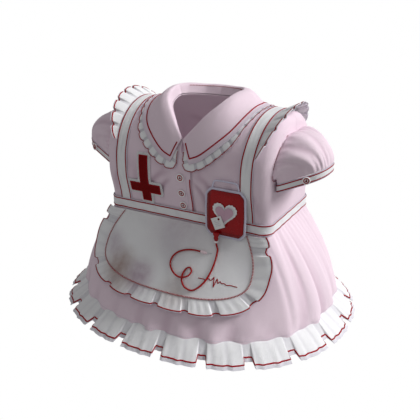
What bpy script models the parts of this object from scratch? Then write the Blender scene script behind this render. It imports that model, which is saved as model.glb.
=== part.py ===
"""A nurse's uniform dress, standing hollow as it is worn.

X runs across the wearer, the front faces -Y, and Z = 0 is the height of the shoulders.
All sizes are in millimetres; MM turns them to metres where a mesh is made.
"""

import math

import bmesh
import bpy
import numpy as np
from mathutils import Vector

MM = 0.001
GAP = 0.4           # between two pieces at a seam
CLOTH = 1.6         # wall of the pink cloth
TRIM = 1.4          # wall of the white trim
LACE = 1.2          # wall of the pleated frill at the collar

# Torso of a general figure: an upright box with round corners, arched over at the shoulders
SHOULDER_Z = 4
CHEST_Z = -127      # the upright front ends here and the arch begins
WAIST_Z = -232      # height measures of the bodice count up from here
BUST_RISE = 80      # the front fills out over this height
WAIST_DEPTH = {-1: 128, 1: 125}     # front (-1) and back (+1)
CHEST_DEPTH = {-1: 142, 1: 130}
HALF_WIDTH, SHOULDER_HALF_WIDTH = 218, 224
CORNER = 24
NECK_RISE, NECK_SPREAD = 24, 100
UPRIGHT = CHEST_Z - WAIST_Z
ARCH = SHOULDER_Z - CHEST_Z
ARCH_LENGTH = math.pi / 2 * (CHEST_DEPTH[-1] + ARCH) / 2
TOP = UPRIGHT + ARCH_LENGTH

# Waistband and skirt
BAND_TOP_Z, BAND_BOTTOM_Z, BAND_OUT = -229, -256, 2.6
BODICE_END, SKIRT_TOP_Z = -7, -239.6
HEM_Z, HEM_HALF_WIDTH, HEM_HALF_DEPTH, HEM_SQUARENESS = -473, 334, 292, 2.24
SKIRT_ROWS = (-256, -290, -340, -405, HEM_Z)
SKIRT_COLUMNS, SKIRT_FOLDS = 96, 24
FOLD_DEPTH, FOLD_START = 4.5, 0.5

# Ruffle under the hem
RUFFLE_Z, RUFFLE_HALF_WIDTH, RUFFLE_FRONT, RUFFLE_BACK, RUFFLE_SQUARENESS = -507, 380, 330, 312, 2.18
RUFFLE_PLEATS, FIRST_PLEAT = 21, 0.4
LOBE_OUT, PLEAT_IN, PLEAT_LIFT = 5, 11, 7
RUFFLE_INSIDE = CLOTH + GAP + 2

# Apron: half widths and heights of the panel's outline and of its ruffle's outer edge
APRON_TOP_Z, APRON_OUT, APRON_SEAM = -260.5, 3.2, 1
PANEL = dict(top=168, side=201, turn_z=-342, bottom_z=-396, square=3.2)
FLOUNCE = dict(top=211, side=238, turn_z=-335, bottom_z=-427, square=3.6)
APRON_PLEATS = (0.063, 0.247, 0.356, 0.429, 0.5, 0.571, 0.644, 0.753, 0.937)

# Half width of a narrow pleat, width of its flank, and the parts that a lobe beside it is cut into
PLEAT = {"hem": (9.5, 2.5, 3), "apron": (7.5, 2.5, 4), "collar": (2.4, 2, 1), "shoulder": (3, 2.5, 2)}

# Neck edge of the bodice and outer edge of the collar, as distance from the centre line
# and height measure, from the centre to the shoulder
NECK = {-1: [(2, 172), (36, 215), (68, 262), (80, TOP)], 1: [(0, 263), (40, 272), (68, 295), (80, TOP)]}
COLLAR = {
    -1: [(25, 121), (57, 135), (97, 170), (124, 205), (141, 255), (150, TOP)],
    1: [(0, 178), (55, 182), (106, 210), (138, 255), (150, TOP)],
}
COLLAR_LIFT, COLLAR_STAND, NECK_LIFT = 5.2, 19, 2
FRILL_START = (13, 150)
FRILL_UNDER, FRILL_WIDTH, FRILL_NARROW, FRILL_PITCH = 6, 17, 7, 25
FRILL_OUT, FRILL_FLARE = 1.7, 3.2

# Armhole from the shoulder to the side seam: height measure, and how far it has turned in
ARMHOLE = [(TOP, 46), (268, 33), (215, 26), (172, 23), (142, 22.5), (119, 23), (105, 34), (102, 75), (102, 130)]

# The right front laps over the left one up to a height, and then both draw back to the centre
LAP_OVER, LAP_UNDER, LAP_FULL, LAP_RUN, LAP_SINK = 26, 16, 110, 44, CLOTH + 2.4
# Rows of the front and back panels, as shares of the way up each column
FRONT_ROWS = (0, 0.06, 0.12, 0.18, 0.25, 0.33, 0.45, 0.58, 0.72, 0.86, 1)
BACK_ROWS = (0, 0.12, 0.24, 0.36, 0.52, 0.68, 0.84, 1)

# Strap: height measure, distance of its centre line from the dress's centre line
STRAP = [(BODICE_END, 168), (150, 167), (230, 171), (TOP, 177)]
STRAP_ROWS = (-6, 4, 24, 48, 72, UPRIGHT, 134, 162, 188, 214, 240, 266, 292, TOP)
STRAP_WIDTH, STRAP_OUT = 33, 0.9
SHOULDER_FRILL = dict(start=156, width=42, end_width=4, pleats=10, lean=math.radians(17))

# Sleeve and cuff; the cuff is a slanted ring, from its inner to its outer side as X and Z
CUFF_INNER, CUFF_OUTER = (220.5, -158.5), (321, -117)
CUFF_FRONT_DEPTH, CUFF_BACK_DEPTH, CUFF_NARROWING, CUFF_CENTRE_Y = 72, 68, 13, -25
CUFF_HEIGHT, CUFF_WALL, CUFF_OUT = 20, 2.0, 0.6
SLEEVE_COLUMNS, SLEEVE_ROWS, SLEEVE_GATHERS = 44, 6, 11
SLEEVE_MIDDLE, SLEEVE_SEAM = (269, -15, -110), 2

# Buttons
BUTTON_RADIUS, BUTTON_THICK, BUTTON_OFF = 10, 3.2, 0.85
BUTTON_Z = (-146, -185, -218)
CUFF_BUTTON_RADIUS, CUFF_BUTTON_TURN = 9, math.radians(82)

# Chest patch
CROSS = dict(x=-102, top_z=-105, bottom_z=-223, bar=25, arm_z=-188, arm=43, arm_height=24, border=3.6)
PATCH_OFF, PATCH_WALL = 1.4, 1.0

# Bag ornament: y is its back. Layers of the pouch: share of its outline, distance from the back
BAG = dict(x=120, z=-212, y=-145.4, half_width=51, half_height=58.5, chamfer=13, border=5, border_thick=2.6)
POUCH = [(0.9, 0.1), (1, 0.9), (1, 3), (0.93, 6.6), (0.8, 8.2)]
POUCH_FRONT = BAG["y"] - POUCH[-1][1]
LOOP = [(-33, 59.5), (-31, 68), (-25, 75.5), (0, 76.5), (25, 75.5), (31, 68), (33, 59.5)]
LOOP_RADIUS = 1.9
# Port and its cap: radius and height, turned about an upright line
PORT = [(7.5, -256), (7.8, -262), (5.4, -266), (6, -272), (4.2, -276.5)]
CAP = [(5.6, -277), (6, -278.6), (5, -281.4)]
PORT_X, PORT_FLAT = 103.2, 0.62
HEART_X, HEART_Z, HEART_GROUND, HEART_PAD = 122.3, -211.5, (30.4, 26.5), (22.5, 19.5)
HEART_GROUND_THICK, HEART_PAD_THICK = 1.2, 2.4
TAG = dict(x=107.5, z=-232, half_width=13.7, half_height=14.2, lean=math.radians(25), thick=0.8)

# Route of the tube over the apron: X, Z and lift where it passes over itself
TUBE_ROUTE = [
    (108, -291, 0), (111, -305, 0), (112, -321, 0), (110, -340, 0), (103, -360, 0), (91, -375, 0),
    (77, -382, 0), (60, -379, 0), (49, -370, 0), (45, -358, 0), (49, -346, 0), (58, -342, 1),
    (65, -348, 2), (62, -357, 4), (53, -362, 5.6), (43, -363.5, 5.6), (30, -361, 3), (16, -354, 0.5),
    (6, -343, 0), (6, -330, 0), (16, -319, 0), (33, -312, 0), (52, -309, 0), (71, -309, 0),
]
TUBE_RADIUS, TUBE_POINTS, CONNECTOR_RADIUS = 2.1, 48, 3.6
CONNECTOR = [(72.5, -309), (82, -309.6), (88.5, -310)]


def ease(t):
    """Smooth step from 0 to 1."""
    t = np.clip(t, 0, 1)
    return t * t * (3 - 2 * t)


def through(rows, share):
    """A smooth curve through the rows, read at shares 0 to 1 of their number."""
    rows = np.array(rows, float)
    at = np.clip(np.asarray(share, float), 0, 1) * (len(rows) - 1)
    i = np.minimum(at.astype(int), len(rows) - 2)
    f = (at - i)[..., None]
    slope = np.gradient(rows, axis=0)
    start = (2 * f**3 - 3 * f**2 + 1) * rows[i] + (f**3 - 2 * f**2 + f) * slope[i]
    return start + (3 * f**2 - 2 * f**3) * rows[i + 1] + (f**3 - f**2) * slope[i + 1]


def lengths(points):
    """Distance of each point along the polyline."""
    return np.concatenate([[0], np.cumsum(np.linalg.norm(np.diff(points, axis=0), axis=1))])


def walk(points, marks, places):
    """Rows of a table read at these places between its marks."""
    return np.stack([np.interp(places, marks, column) for column in np.asarray(points, float).T], -1)


def ring_of(outline, count):
    """Points of a closed outline at equal steps of its length."""
    closed = np.concatenate([outline, outline[:1]])
    marks = lengths(closed)
    return walk(closed, marks, np.linspace(0, marks[-1], count, endpoint=False))


def pleated(centres, length, half, flank, parts, closed=False):
    """Places along an edge and the wave there: -1 in the narrow pleats at the centres and 1 on
    the lobes between them, each lobe cut into parts."""
    reach = half + flank
    if closed:
        stops = [*centres, centres[0] + length]
    else:
        stops = [-reach, *centres, length + reach]
    places, waves = [], []
    for number, (low, high) in enumerate(zip(stops, stops[1:])):
        if closed or number:
            places += [low - half, low + half]
            waves += [-1, -1]
        places += list(np.linspace(low + reach, high - reach, parts + 1))
        waves += [1] * (parts + 1)
    return np.array(places), np.array(waves, float)


def facing(place, a, b, step=0.5):
    """Unit normals of the surface place(a, b), by differences."""
    across = place(a + step, b) - place(a - step, b)
    along = place(a, b + step) - place(a, b - step)
    normal = np.cross(across, along)
    return normal / np.maximum(np.linalg.norm(normal, axis=-1, keepdims=True), 1e-9)


def torso_depth(h, side):
    return WAIST_DEPTH[side] + (CHEST_DEPTH[side] - WAIST_DEPTH[side]) * ease(h / BUST_RISE)


def torso_turn(h):
    """How far the arch over the shoulder has turned at height measure h."""
    return np.clip((h - UPRIGHT) / ARCH_LENGTH, 0, 1.02) * math.pi / 2


def half_width(h):
    return HALF_WIDTH + (SHOULDER_HALF_WIDTH - HALF_WIDTH) * ease(np.sin(torso_turn(h)))


def torso_point(s, h, side):
    """A point of the torso's surface: s is measured along the surface from the centre line round
    the corner onto the flat side, and h up the front or back and over the shoulder."""
    s, h = np.broadcast_arrays(np.asarray(s, float), np.asarray(h, float))
    turn = torso_turn(h)
    out_y, out_z = np.cos(turn) / CHEST_DEPTH[side], np.sin(turn) / ARCH
    length = np.hypot(out_y, out_z)
    z = np.where(h < UPRIGHT, WAIST_Z + h, CHEST_Z + ARCH * np.sin(turn))
    flat = half_width(h) - CORNER
    far = np.abs(s)
    bend = np.clip((far - flat) / CORNER, 0, math.pi / 2)
    inset = CORNER * (1 - np.cos(bend)) + np.maximum(far - flat - CORNER * math.pi / 2, 0)
    x = np.minimum(far, flat) + CORNER * np.sin(bend)
    y = side * (torso_depth(h, side) * np.cos(turn) - out_y / length * inset)
    rise = NECK_RISE * np.exp(-((far / NECK_SPREAD) ** 2)) * np.sin(turn) ** 2
    return np.stack([np.sign(s) * x, y, z - out_z / length * inset + rise], -1)


def torso(s, h, side=-1, out=0.0):
    """torso_point moved out from the surface."""
    s, h, out = np.broadcast_arrays(*(np.asarray(value, float) for value in (s, h, out)))
    normal = facing(lambda a, b: torso_point(a, b, side), s, h)
    return torso_point(s, h, side) - side * normal * out[..., None]


def over_torso(s, climb, out=0.0):
    """torso with one measure that runs up the front, over the shoulder and down the back."""
    climb = np.asarray(climb, float)
    front = torso(s, np.minimum(climb, TOP), -1, out)
    back = torso(s, np.minimum(2 * TOP - climb, TOP), 1, out)
    ahead = np.broadcast_to(climb <= TOP, front.shape[:-1])
    return np.where(ahead[..., None], front, back)


def at_inset(inset, h):
    """Distance s at which the surface has turned in from the front or back by this much."""
    inset = np.asarray(inset, float)
    on_corner = half_width(h) - CORNER + CORNER * np.arccos(1 - np.clip(inset / CORNER, 0, 1))
    return on_corner + np.maximum(inset - CORNER, 0)


def waist_outline():
    """The waist ring at fine steps, from the centre front towards +X, as X and Y."""
    right = [torso(np.linspace(0, at_inset(WAIST_DEPTH[side], 0), 120), 0, side)[:, :2] for side in (-1, 1)]
    right = np.concatenate([right[0], right[1][-2::-1]])
    return np.concatenate([right, right[-2:0:-1] * (-1, 1)])


def oval(half_wide, front, back, square):
    """A squared oval at fine steps, from the centre front towards +X, as X and Y."""
    turn = np.linspace(0, 2 * math.pi, 720, endpoint=False)
    x = half_wide * np.sign(np.sin(turn)) * np.abs(np.sin(turn)) ** (2 / square)
    deep = np.where(np.cos(turn) > 0, front, back)
    return np.stack([x, -deep * np.sign(np.cos(turn)) * np.abs(np.cos(turn)) ** (2 / square)], -1)


RING_STEPS = 240
RINGS = np.concatenate([
    ring_of(waist_outline(), RING_STEPS),
    ring_of(oval(HEM_HALF_WIDTH, HEM_HALF_DEPTH, HEM_HALF_DEPTH, HEM_SQUARENESS), RING_STEPS),
], 1)
RINGS = np.concatenate([RINGS, RINGS[:1]])


def skirt_share(z):
    return (BAND_BOTTOM_Z - np.asarray(z, float)) / (BAND_BOTTOM_Z - HEM_Z)


def skirt_point(u, z):
    """A point of the skirt without folds: u is the share of the way round from the centre front."""
    u, z = np.broadcast_arrays(np.asarray(u, float), np.asarray(z, float))
    up = 1 - skirt_share(z).clip(0, 1)
    ring = walk(RINGS, np.arange(RING_STEPS + 1) / RING_STEPS, u % 1)
    spread = 1 - np.stack([up**1.75, up**1.1], -1)
    flat = ring[..., :2] + (ring[..., 2:] - ring[..., :2]) * spread
    return np.concatenate([flat, z[..., None]], -1)


def skirt_normal(u, z):
    across = skirt_point(u + 0.004, z) - skirt_point(u - 0.004, z)
    down = skirt_point(u, z - 2) - skirt_point(u, z + 2)
    normal = np.cross(down, across)
    return normal / np.linalg.norm(normal, axis=-1, keepdims=True)


def skirt_folds(u, z):
    """Depth of the soft pleats, uneven round the skirt, nearly flat where the apron lies on them."""
    t = skirt_share(z).clip(0, 1)
    uneven = 0.7 + 0.3 * np.sin(2 * math.pi * 5 * u + 0.6)
    wave = np.cos(2 * math.pi * SKIRT_FOLDS * u + 0.9 * np.sin(2 * math.pi * 3 * u))
    off_centre = np.minimum(u % 1, 1 - u % 1)
    covered = (1 - ease((off_centre - 0.13) / 0.05)) * (1 - ease((t - 0.72) / 0.2))
    return wave * uneven * (FOLD_START + (FOLD_DEPTH - FOLD_START) * t) * (1 - 0.85 * covered)


def skirt_at(x, z, out=0.0):
    """The skirt's front at this X and Z, moved out from it."""
    x, z, out = np.broadcast_arrays(*(np.asarray(value, float) for value in (x, z, out)))
    low, high = np.full(x.shape, -0.24), np.full(x.shape, 0.24)
    for _ in range(30):
        u = (low + high) / 2
        short = skirt_point(u, z)[..., 0] < x
        low, high = np.where(short, u, low), np.where(short, high, u)
    return skirt_point(u, z) + skirt_normal(u, z) * out[..., None]


def outline_d(size, share):
    """X and Z of a rounded D: down one side, round the bottom and up the other, share 0 to 1."""
    share = np.asarray(share, float)
    arc = (np.clip((share - 0.17) / 0.66, 0, 1) * 2 - 1) * math.pi / 2
    x = size["side"] * np.sin(arc)
    drop = (1 - np.abs(np.sin(arc)) ** size["square"]).clip(0) ** (1 / size["square"])
    z = size["turn_z"] + (size["bottom_z"] - size["turn_z"]) * drop
    climb = np.clip(np.maximum(0.17 - share, share - 0.83) / 0.17, 0, 1)
    narrow = (size["side"] - size["top"]) * (1 - np.cos(climb * math.pi / 2))
    return np.stack([x - np.sign(x) * narrow, z + (APRON_TOP_Z - size["turn_z"]) * climb], -1)


def material(name, colour, roughness):
    made = bpy.data.materials.new(name)
    made.use_nodes = True
    shader = made.node_tree.nodes["Principled BSDF"]
    shader.inputs["Base Color"].default_value = (*colour, 1)
    shader.inputs["Roughness"].default_value = roughness
    made.diffuse_color = (*colour, 1)
    return made


def add_mesh(name, made, finish):
    """Turns a bmesh into a piece of the dress."""
    mesh = bpy.data.meshes.new(name)
    made.to_mesh(mesh)
    made.free()
    piece = bpy.data.objects.new(name, mesh)
    dress.objects.link(piece)
    mesh.materials.append(finish)
    for face in mesh.polygons:
        face.use_smooth = True
    mesh.set_sharp_from_angle(angle=math.radians(40))
    return piece


def vert(made, spot):
    return made.verts.new(Vector(spot) * MM)


def thicken(piece, thick):
    solid = piece.modifiers.new("Wall", "SOLIDIFY")
    solid.thickness = thick * MM
    solid.offset = -1
    return piece


def wall(name, points, finish, thick, away_from, round_u=False):
    """A cloth wall inside a grid of points, its outer face turned away from a point."""
    made = bmesh.new()
    grid = [[vert(made, spot) for spot in row] for row in points]
    for i in range(len(grid) - (not round_u)):
        row, after = grid[i], grid[(i + 1) % len(grid)]
        for a, b, c, d in zip(row, after, after[1:], row[1:]):
            made.faces.new((a, b, c, d))
    made.normal_update()
    centre = Vector(away_from) * MM
    if sum(face.normal.dot(face.calc_center_median() - centre) * face.calc_area() for face in made.faces) < 0:
        bmesh.ops.reverse_faces(made, faces=made.faces)
    return thicken(add_mesh(name, made, finish), thick)


def loft(name, rings, finish, closed=False):
    """A solid through rings of points, capped at both ends or closed on itself."""
    made = bmesh.new()
    rows = [[vert(made, spot) for spot in ring] for ring in rings]
    for low, high in zip(rows, rows[1:] + rows[:1] if closed else rows[1:]):
        for a, b, c, d in zip(low, low[1:] + low[:1], high[1:] + high[:1], high):
            made.faces.new((a, b, c, d))
    if not closed:
        made.faces.new(rows[0][::-1])
        made.faces.new(rows[-1])
    bmesh.ops.recalc_face_normals(made, faces=made.faces)
    return add_mesh(name, made, finish)


def plate(name, outline, back_y, thick, finish):
    """A flat piece from an outline of X and Z, from back_y forward."""
    return loft(name, [[(x, back_y - out, z) for x, z in outline] for out in (0, thick)], finish)


def round_line(name, points, radius, finish):
    """A round cord along the points."""
    line = bpy.data.curves.new(name, "CURVE")
    line.dimensions = "3D"
    line.bevel_depth = radius * MM
    line.bevel_resolution = 1
    line.use_fill_caps = True
    spline = line.splines.new("POLY")
    spline.points.add(len(points) - 1)
    for point, spot in zip(spline.points, points):
        point.co = (*(Vector(spot) * MM), 1)
    made = bpy.data.objects.new(name, line)
    dress.objects.link(made)
    line.materials.append(finish)
    return made


def armhole_edge(side, off=0.0):
    """The armhole's corner points on the front or back, moved off into the hole."""
    h, inset = np.array(ARMHOLE).T
    reach, depth = ARMHOLE[-1][1], torso_depth(ARMHOLE[-1][0], side)
    inset = inset + (depth - reach) * ease((inset - 48) / (reach - 48))
    low = ease((150 - h) / 40)
    return at_inset(inset + off * (1 - low), h), np.minimum(h, TOP - GAP) + off * low


def bodice_half(side, low_columns, share):
    """Grid of s and h over half a front or back. Its columns run up from the waist, in turn to
    the neck edge, the shoulder seam and the armhole."""
    neck_top = through(NECK[side], np.linspace(0, 1, 5)[:-1])
    seam_s = np.linspace(NECK[side][-1][0], at_inset(ARMHOLE[0][1], TOP), 6)[:-1]
    arm_s, arm_h = armhole_edge(side)
    top_s = np.concatenate([neck_top[:, 0], seam_s, arm_s])
    top_h = np.concatenate([neck_top[:, 1], np.full(5, TOP - GAP), arm_h])
    flat = HALF_WIDTH - CORNER
    corner_s = flat - 4 + 7.7 * np.arange(6)
    seam = at_inset(WAIST_DEPTH[side], 0) - GAP / 2
    low_s = np.concatenate([
        low_columns, np.linspace(75, flat - 4, 6)[:-1], corner_s, np.linspace(corner_s[-1] + 6, seam, 3),
    ])[:, None]
    share = np.array(share)
    h = BODICE_END * (1 - share) + top_h[:, None] * share
    near_neck = np.arange(len(low_s))[:, None] < len(low_columns)
    late = ((h - LAP_FULL) / (top_h[:, None] - LAP_FULL)).clip(0, 1)
    s = low_s + (top_s[:, None] - low_s) * np.where(near_neck, late, share)
    s[-1] = at_inset(torso_depth(h[-1], side), h[-1]) - GAP / 2
    return s, h


def bodice(cloth):
    """Two fronts, the wearer's right one lapped over the left, and a back."""
    for name, mirror, lap in (("bodice_front_left", 1, LAP_UNDER), ("bodice_front_right", -1, LAP_OVER)):
        s, h = bodice_half(-1, (0, 27.5, 38, 56), FRONT_ROWS)
        drawn = ease((h - LAP_FULL) / LAP_RUN)
        s[0] = -lap * (1 - drawn[0]) + NECK[-1][0][0] * drawn[0]
        out = np.zeros(h.shape)
        if mirror > 0:
            out[:2] = -LAP_SINK
        wall(name, torso(mirror * s, h, -1, out), cloth, CLOTH, (0, 0, -200))
    s, h = bodice_half(1, (0, 19, 38, 56), BACK_ROWS)
    both_s = np.concatenate([-s[:0:-1], s])
    both_h = np.concatenate([h[:0:-1], h])
    wall("bodice_back", torso(both_s, both_h, 1), cloth, CLOTH, (0, 0, -200))


def cuff_ring(turn, lift, out=0.0):
    """The cuff's slanted ring: turn 0 is its outer side, and a quarter turn its front."""
    inner, outer = np.array(CUFF_INNER), np.array(CUFF_OUTER)
    middle, reach = (inner + outer) / 2, (outer - inner) / 2
    square = np.where(np.cos(turn) < 0, 9, np.where(np.sin(turn) > 0, 3.4, 2))
    across = np.sign(np.cos(turn)) * np.abs(np.cos(turn)) ** (2 / square)
    fore = np.sign(np.sin(turn)) * np.abs(np.sin(turn)) ** (2 / square)
    grown = across * (1 + out / np.hypot(*reach))
    deep = np.where(np.sin(turn) > 0, CUFF_FRONT_DEPTH, CUFF_BACK_DEPTH) - CUFF_NARROWING * across + out
    return np.stack([middle[0] + reach[0] * grown, CUFF_CENTRE_Y - deep * fore, middle[1] + reach[1] * grown + lift], -1)


def sleeve_grid():
    """The left sleeve: from the armhole's edge out and down into the cuff."""
    turn = np.linspace(0, 2 * math.pi, SLEEVE_COLUMNS, endpoint=False)
    share = 1 - np.abs(1 - turn / math.pi)
    marks = np.linspace(0, 1, len(ARMHOLE))
    edge = {side: walk(torso(*armhole_edge(side, SLEEVE_SEAM), side), marks, share) for side in (-1, 1)}
    start = np.where((turn <= math.pi)[:, None], edge[-1], edge[1])
    end = cuff_ring(turn, CUFF_HEIGHT + 2.5 * GAP)
    outer, ahead = (1 + np.cos(turn)) / 2, -np.sin(turn)
    full = outer * (1 - 0.45 * ahead.clip(0))
    leave = np.stack([20 + 90 * full, 20 * ahead.clip(-1, 0), 2 + 54 * full], -1)
    arrive = np.stack([4 + full, -26 * ahead.clip(-1, 0), -24 - 120 * full], -1)
    v = np.linspace(0, 1, SLEEVE_ROWS)[None, :, None]
    grid = (2 * v**3 - 3 * v**2 + 1) * start[:, None] + (v**3 - 2 * v**2 + v) * leave[:, None]
    grid = grid + (3 * v**2 - 2 * v**3) * end[:, None] + (v**3 - v**2) * arrive[:, None]
    away = grid - SLEEVE_MIDDLE
    away = away / np.linalg.norm(away, axis=-1, keepdims=True)
    gathers = np.cos(turn * SLEEVE_GATHERS) * ease((np.cos(turn) + 0.5) / 0.8)
    return grid + away * (2.4 * gathers[:, None] * np.sin(math.pi * v[..., 0]) ** 0.8)[..., None]


def sleeves(cloth, trim, button):
    for name, mirror in (("left", 1), ("right", -1)):
        flip = np.array([mirror, 1, 1])
        inside = SLEEVE_MIDDLE * flip
        wall(f"sleeve_{name}", sleeve_grid() * flip, cloth, CLOTH, inside, round_u=True)
        turn = np.linspace(0, 2 * math.pi, 36, endpoint=False)
        ring = np.stack([cuff_ring(turn, lift, CUFF_OUT) for lift in (0, CUFF_HEIGHT)], 1)
        wall(f"cuff_{name}", ring * flip, trim, CUFF_WALL, inside, round_u=True)
        near = cuff_ring(CUFF_BUTTON_TURN + np.array([-0.03, 0, 0.03]), CUFF_HEIGHT / 2, CUFF_OUT)
        along = near[0] - near[2]
        out = np.array([along[1], -along[0], 0]) / np.hypot(*along[:2])
        add_button(f"cuff_button_{name}", (near[1] + out * BUTTON_OFF) * flip, out * flip, CUFF_BUTTON_RADIUS, button)


def add_button(name, spot, direction, r, finish):
    """A turned button: a dished disc with a raised rim, its back at the spot."""
    t = BUTTON_THICK
    profile = [(0, t * 0.62), (r * 0.68, t * 0.62), (r * 0.76, t), (r * 0.92, t), (r, t * 0.5), (r * 0.94, 0), (0, 0)]
    made = bmesh.new()
    verts = [vert(made, (x, 0, z)) for x, z in profile]
    for a, b in zip(verts, verts[1:]):
        made.edges.new((a, b))
    disc = add_mesh(name, made, finish)
    screw = disc.modifiers.new("Turn", "SCREW")
    screw.axis = "Z"
    screw.steps = screw.render_steps = 16
    screw.use_merge_vertices = True
    screw.merge_threshold = 0.0001
    disc.location = Vector(spot) * MM
    disc.rotation_euler = Vector(direction).to_track_quat("Z", "Y").to_euler()


def front_buttons(finish):
    for number, z in enumerate(BUTTON_Z, 1):
        spot, ahead = torso(0, z - WAIST_Z, -1, [BUTTON_OFF, BUTTON_OFF + 1])
        add_button(f"front_button_{number}", spot, ahead - spot, BUTTON_RADIUS, finish)


def waistband(trim):
    """A band round the waist, over the bodice's end and the skirt's top."""
    flat, corner = HALF_WIDTH - CORNER, at_inset(CORNER, 0)
    halves = []
    for side in (-1, 1):
        steps = np.concatenate([
            np.linspace(0, flat, 4), np.linspace(flat, corner, 6)[1:],
            np.linspace(corner, at_inset(WAIST_DEPTH[side], 0), 3)[1:],
        ])
        halves.append(torso(np.concatenate([-steps[:0:-1], steps]), 0, side, BAND_OUT + TRIM))
    ring = np.concatenate([halves[0], halves[1][-2:0:-1]]) * (1, 1, 0)
    rows = [ring + (0, 0, z) for z in (BAND_BOTTOM_Z, BAND_TOP_Z)]
    wall("waistband", np.stack(rows, 1), trim, TRIM, (0, 0, -240), round_u=True)


def strap_centre(climb):
    heights, centres = np.array(STRAP).T
    return np.interp(np.minimum(climb, 2 * TOP - climb), heights, centres)


def straps(trim):
    """Flat bands from the front waist over the shoulders to the back waist."""
    climb = np.array(STRAP_ROWS)
    climb = np.concatenate([climb, 2 * TOP - climb[-2::-1]])[:, None]
    across = strap_centre(climb) + np.array([-1, 0, 1]) * STRAP_WIDTH / 2
    for name, mirror in (("left", 1), ("right", -1)):
        wall(f"strap_{name}", over_torso(mirror * across, climb, STRAP_OUT + TRIM), trim, TRIM, (0, 0, -200))


def shoulder_frills(trim):
    """A leaf-shaped frill along each strap's outer edge, standing out from the shoulder."""
    size = SHOULDER_FRILL
    span = 2 * (TOP - size["start"])
    centres = span * (np.arange(size["pleats"] - 1) + 1) / size["pleats"]
    places, wave = pleated(centres, span, *PLEAT["shoulder"])
    climb = size["start"] + places
    root_s = strap_centre(climb) + STRAP_WIDTH / 2 + GAP
    root_out = STRAP_OUT + TRIM + 0.6
    width = size["end_width"] + (size["width"] - size["end_width"]) * np.sin(math.pi * places / span).clip(0) ** 0.75
    for name, mirror in (("left", 1), ("right", -1)):
        root = over_torso(mirror * root_s, climb, root_out)
        lift = over_torso(mirror * root_s, climb, root_out + 1) - root
        away = np.array([mirror * math.cos(size["lean"]), 0, 0]) + lift * math.sin(size["lean"])
        rows = [root + away * (width * v)[:, None] + lift * (v * (2.8 + 2.8 * wave))[:, None] for v in (0, 0.5, 1)]
        wall(f"shoulder_frill_{name}", np.stack(rows, 1), trim, TRIM, (mirror * 200, 0, -60))


def collar(cloth):
    """One collar round the neck with two front points: up from the neck edge, rolled over and
    out to lie on the bodice."""
    across = np.array([0, 0.08, 0.16, 0.26, 0.38, 0.54, 0.76, 1])
    fall = ease((across - 0.3) / 0.7)
    inner = ease((0.22 - across) / 0.22)
    where = np.clip((across - 0.16) / 0.84, 0, 1)[:, None]
    columns = []
    for side, shares in ((-1, np.linspace(0, 1, 11)), (1, np.linspace(1, 0, 9)[1:])):
        for share in shares:
            neck, outer = through(NECK[side], share), through(COLLAR[side], share)
            s, h = (neck + (outer - neck) * where).T
            stand = COLLAR_STAND * ease(share / 0.75) + 2.2 if side < 0 else COLLAR_STAND + 7 * (1 - share)
            lift = COLLAR_LIFT + stand * (1 - fall) ** 1.5 * (1 - inner) - (COLLAR_LIFT - NECK_LIFT) * inner
            columns.append(torso(s, h, side, lift))
    right = np.array(columns)
    right[0, :, 0] += GAP
    wall("collar", np.concatenate([right, right[-2::-1] * (-1, 1, 1)]), cloth, CLOTH, (0, 0, -60))


def collar_frill(trim):
    """The pleated frill that shows past the collar's edge, from one front point round to the other."""
    front = through(COLLAR[-1], np.linspace(0, 1, 60))
    back = through(COLLAR[1], np.linspace(1, 0, 40)[1:]) * (1, -1) + (0, 2 * TOP)
    front_edge = np.linspace(FRILL_START, front[0], 9)[:-1]
    edge = np.concatenate([front_edge, front, back])
    along = np.gradient(edge, axis=0)
    away = np.stack([along[:, 1], -along[:, 0]], -1) / np.linalg.norm(along, axis=1, keepdims=True)
    marks = lengths(over_torso(*edge.T))
    lobes = round(marks[-1] / FRILL_PITCH)
    centres = marks[-1] * (np.arange(lobes) + 1) / (lobes + 0.5)
    places, wave = pleated(centres, marks[-1] + PLEAT["collar"][0] + PLEAT["collar"][1], *PLEAT["collar"])
    places = places.clip(0, marks[-1])
    spot, away = walk(edge, marks, places), walk(away, marks, places)
    near_strap = ease((spot[:, 1] - 170) / 60) * ease((2 * TOP - 190 - spot[:, 1]) / 60)
    near_front = ease(1 - places / marks[len(front_edge)])
    width = FRILL_WIDTH + (FRILL_NARROW - FRILL_WIDTH) * np.maximum(near_strap, near_front)
    root = over_torso(*(spot - away * FRILL_UNDER).T, FRILL_OUT)
    flare = FRILL_OUT + 0.3 + FRILL_FLARE * width / FRILL_WIDTH * (1 + wave) / 2
    right = np.stack([root, over_torso(*(spot + away * width[:, None]).T, flare)], 1)
    right[-1, :, 0] = 0
    wall("collar_frill", np.concatenate([right, right[-2::-1] * (-1, 1, 1)]), trim, LACE, (0, 0, -200))


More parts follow.
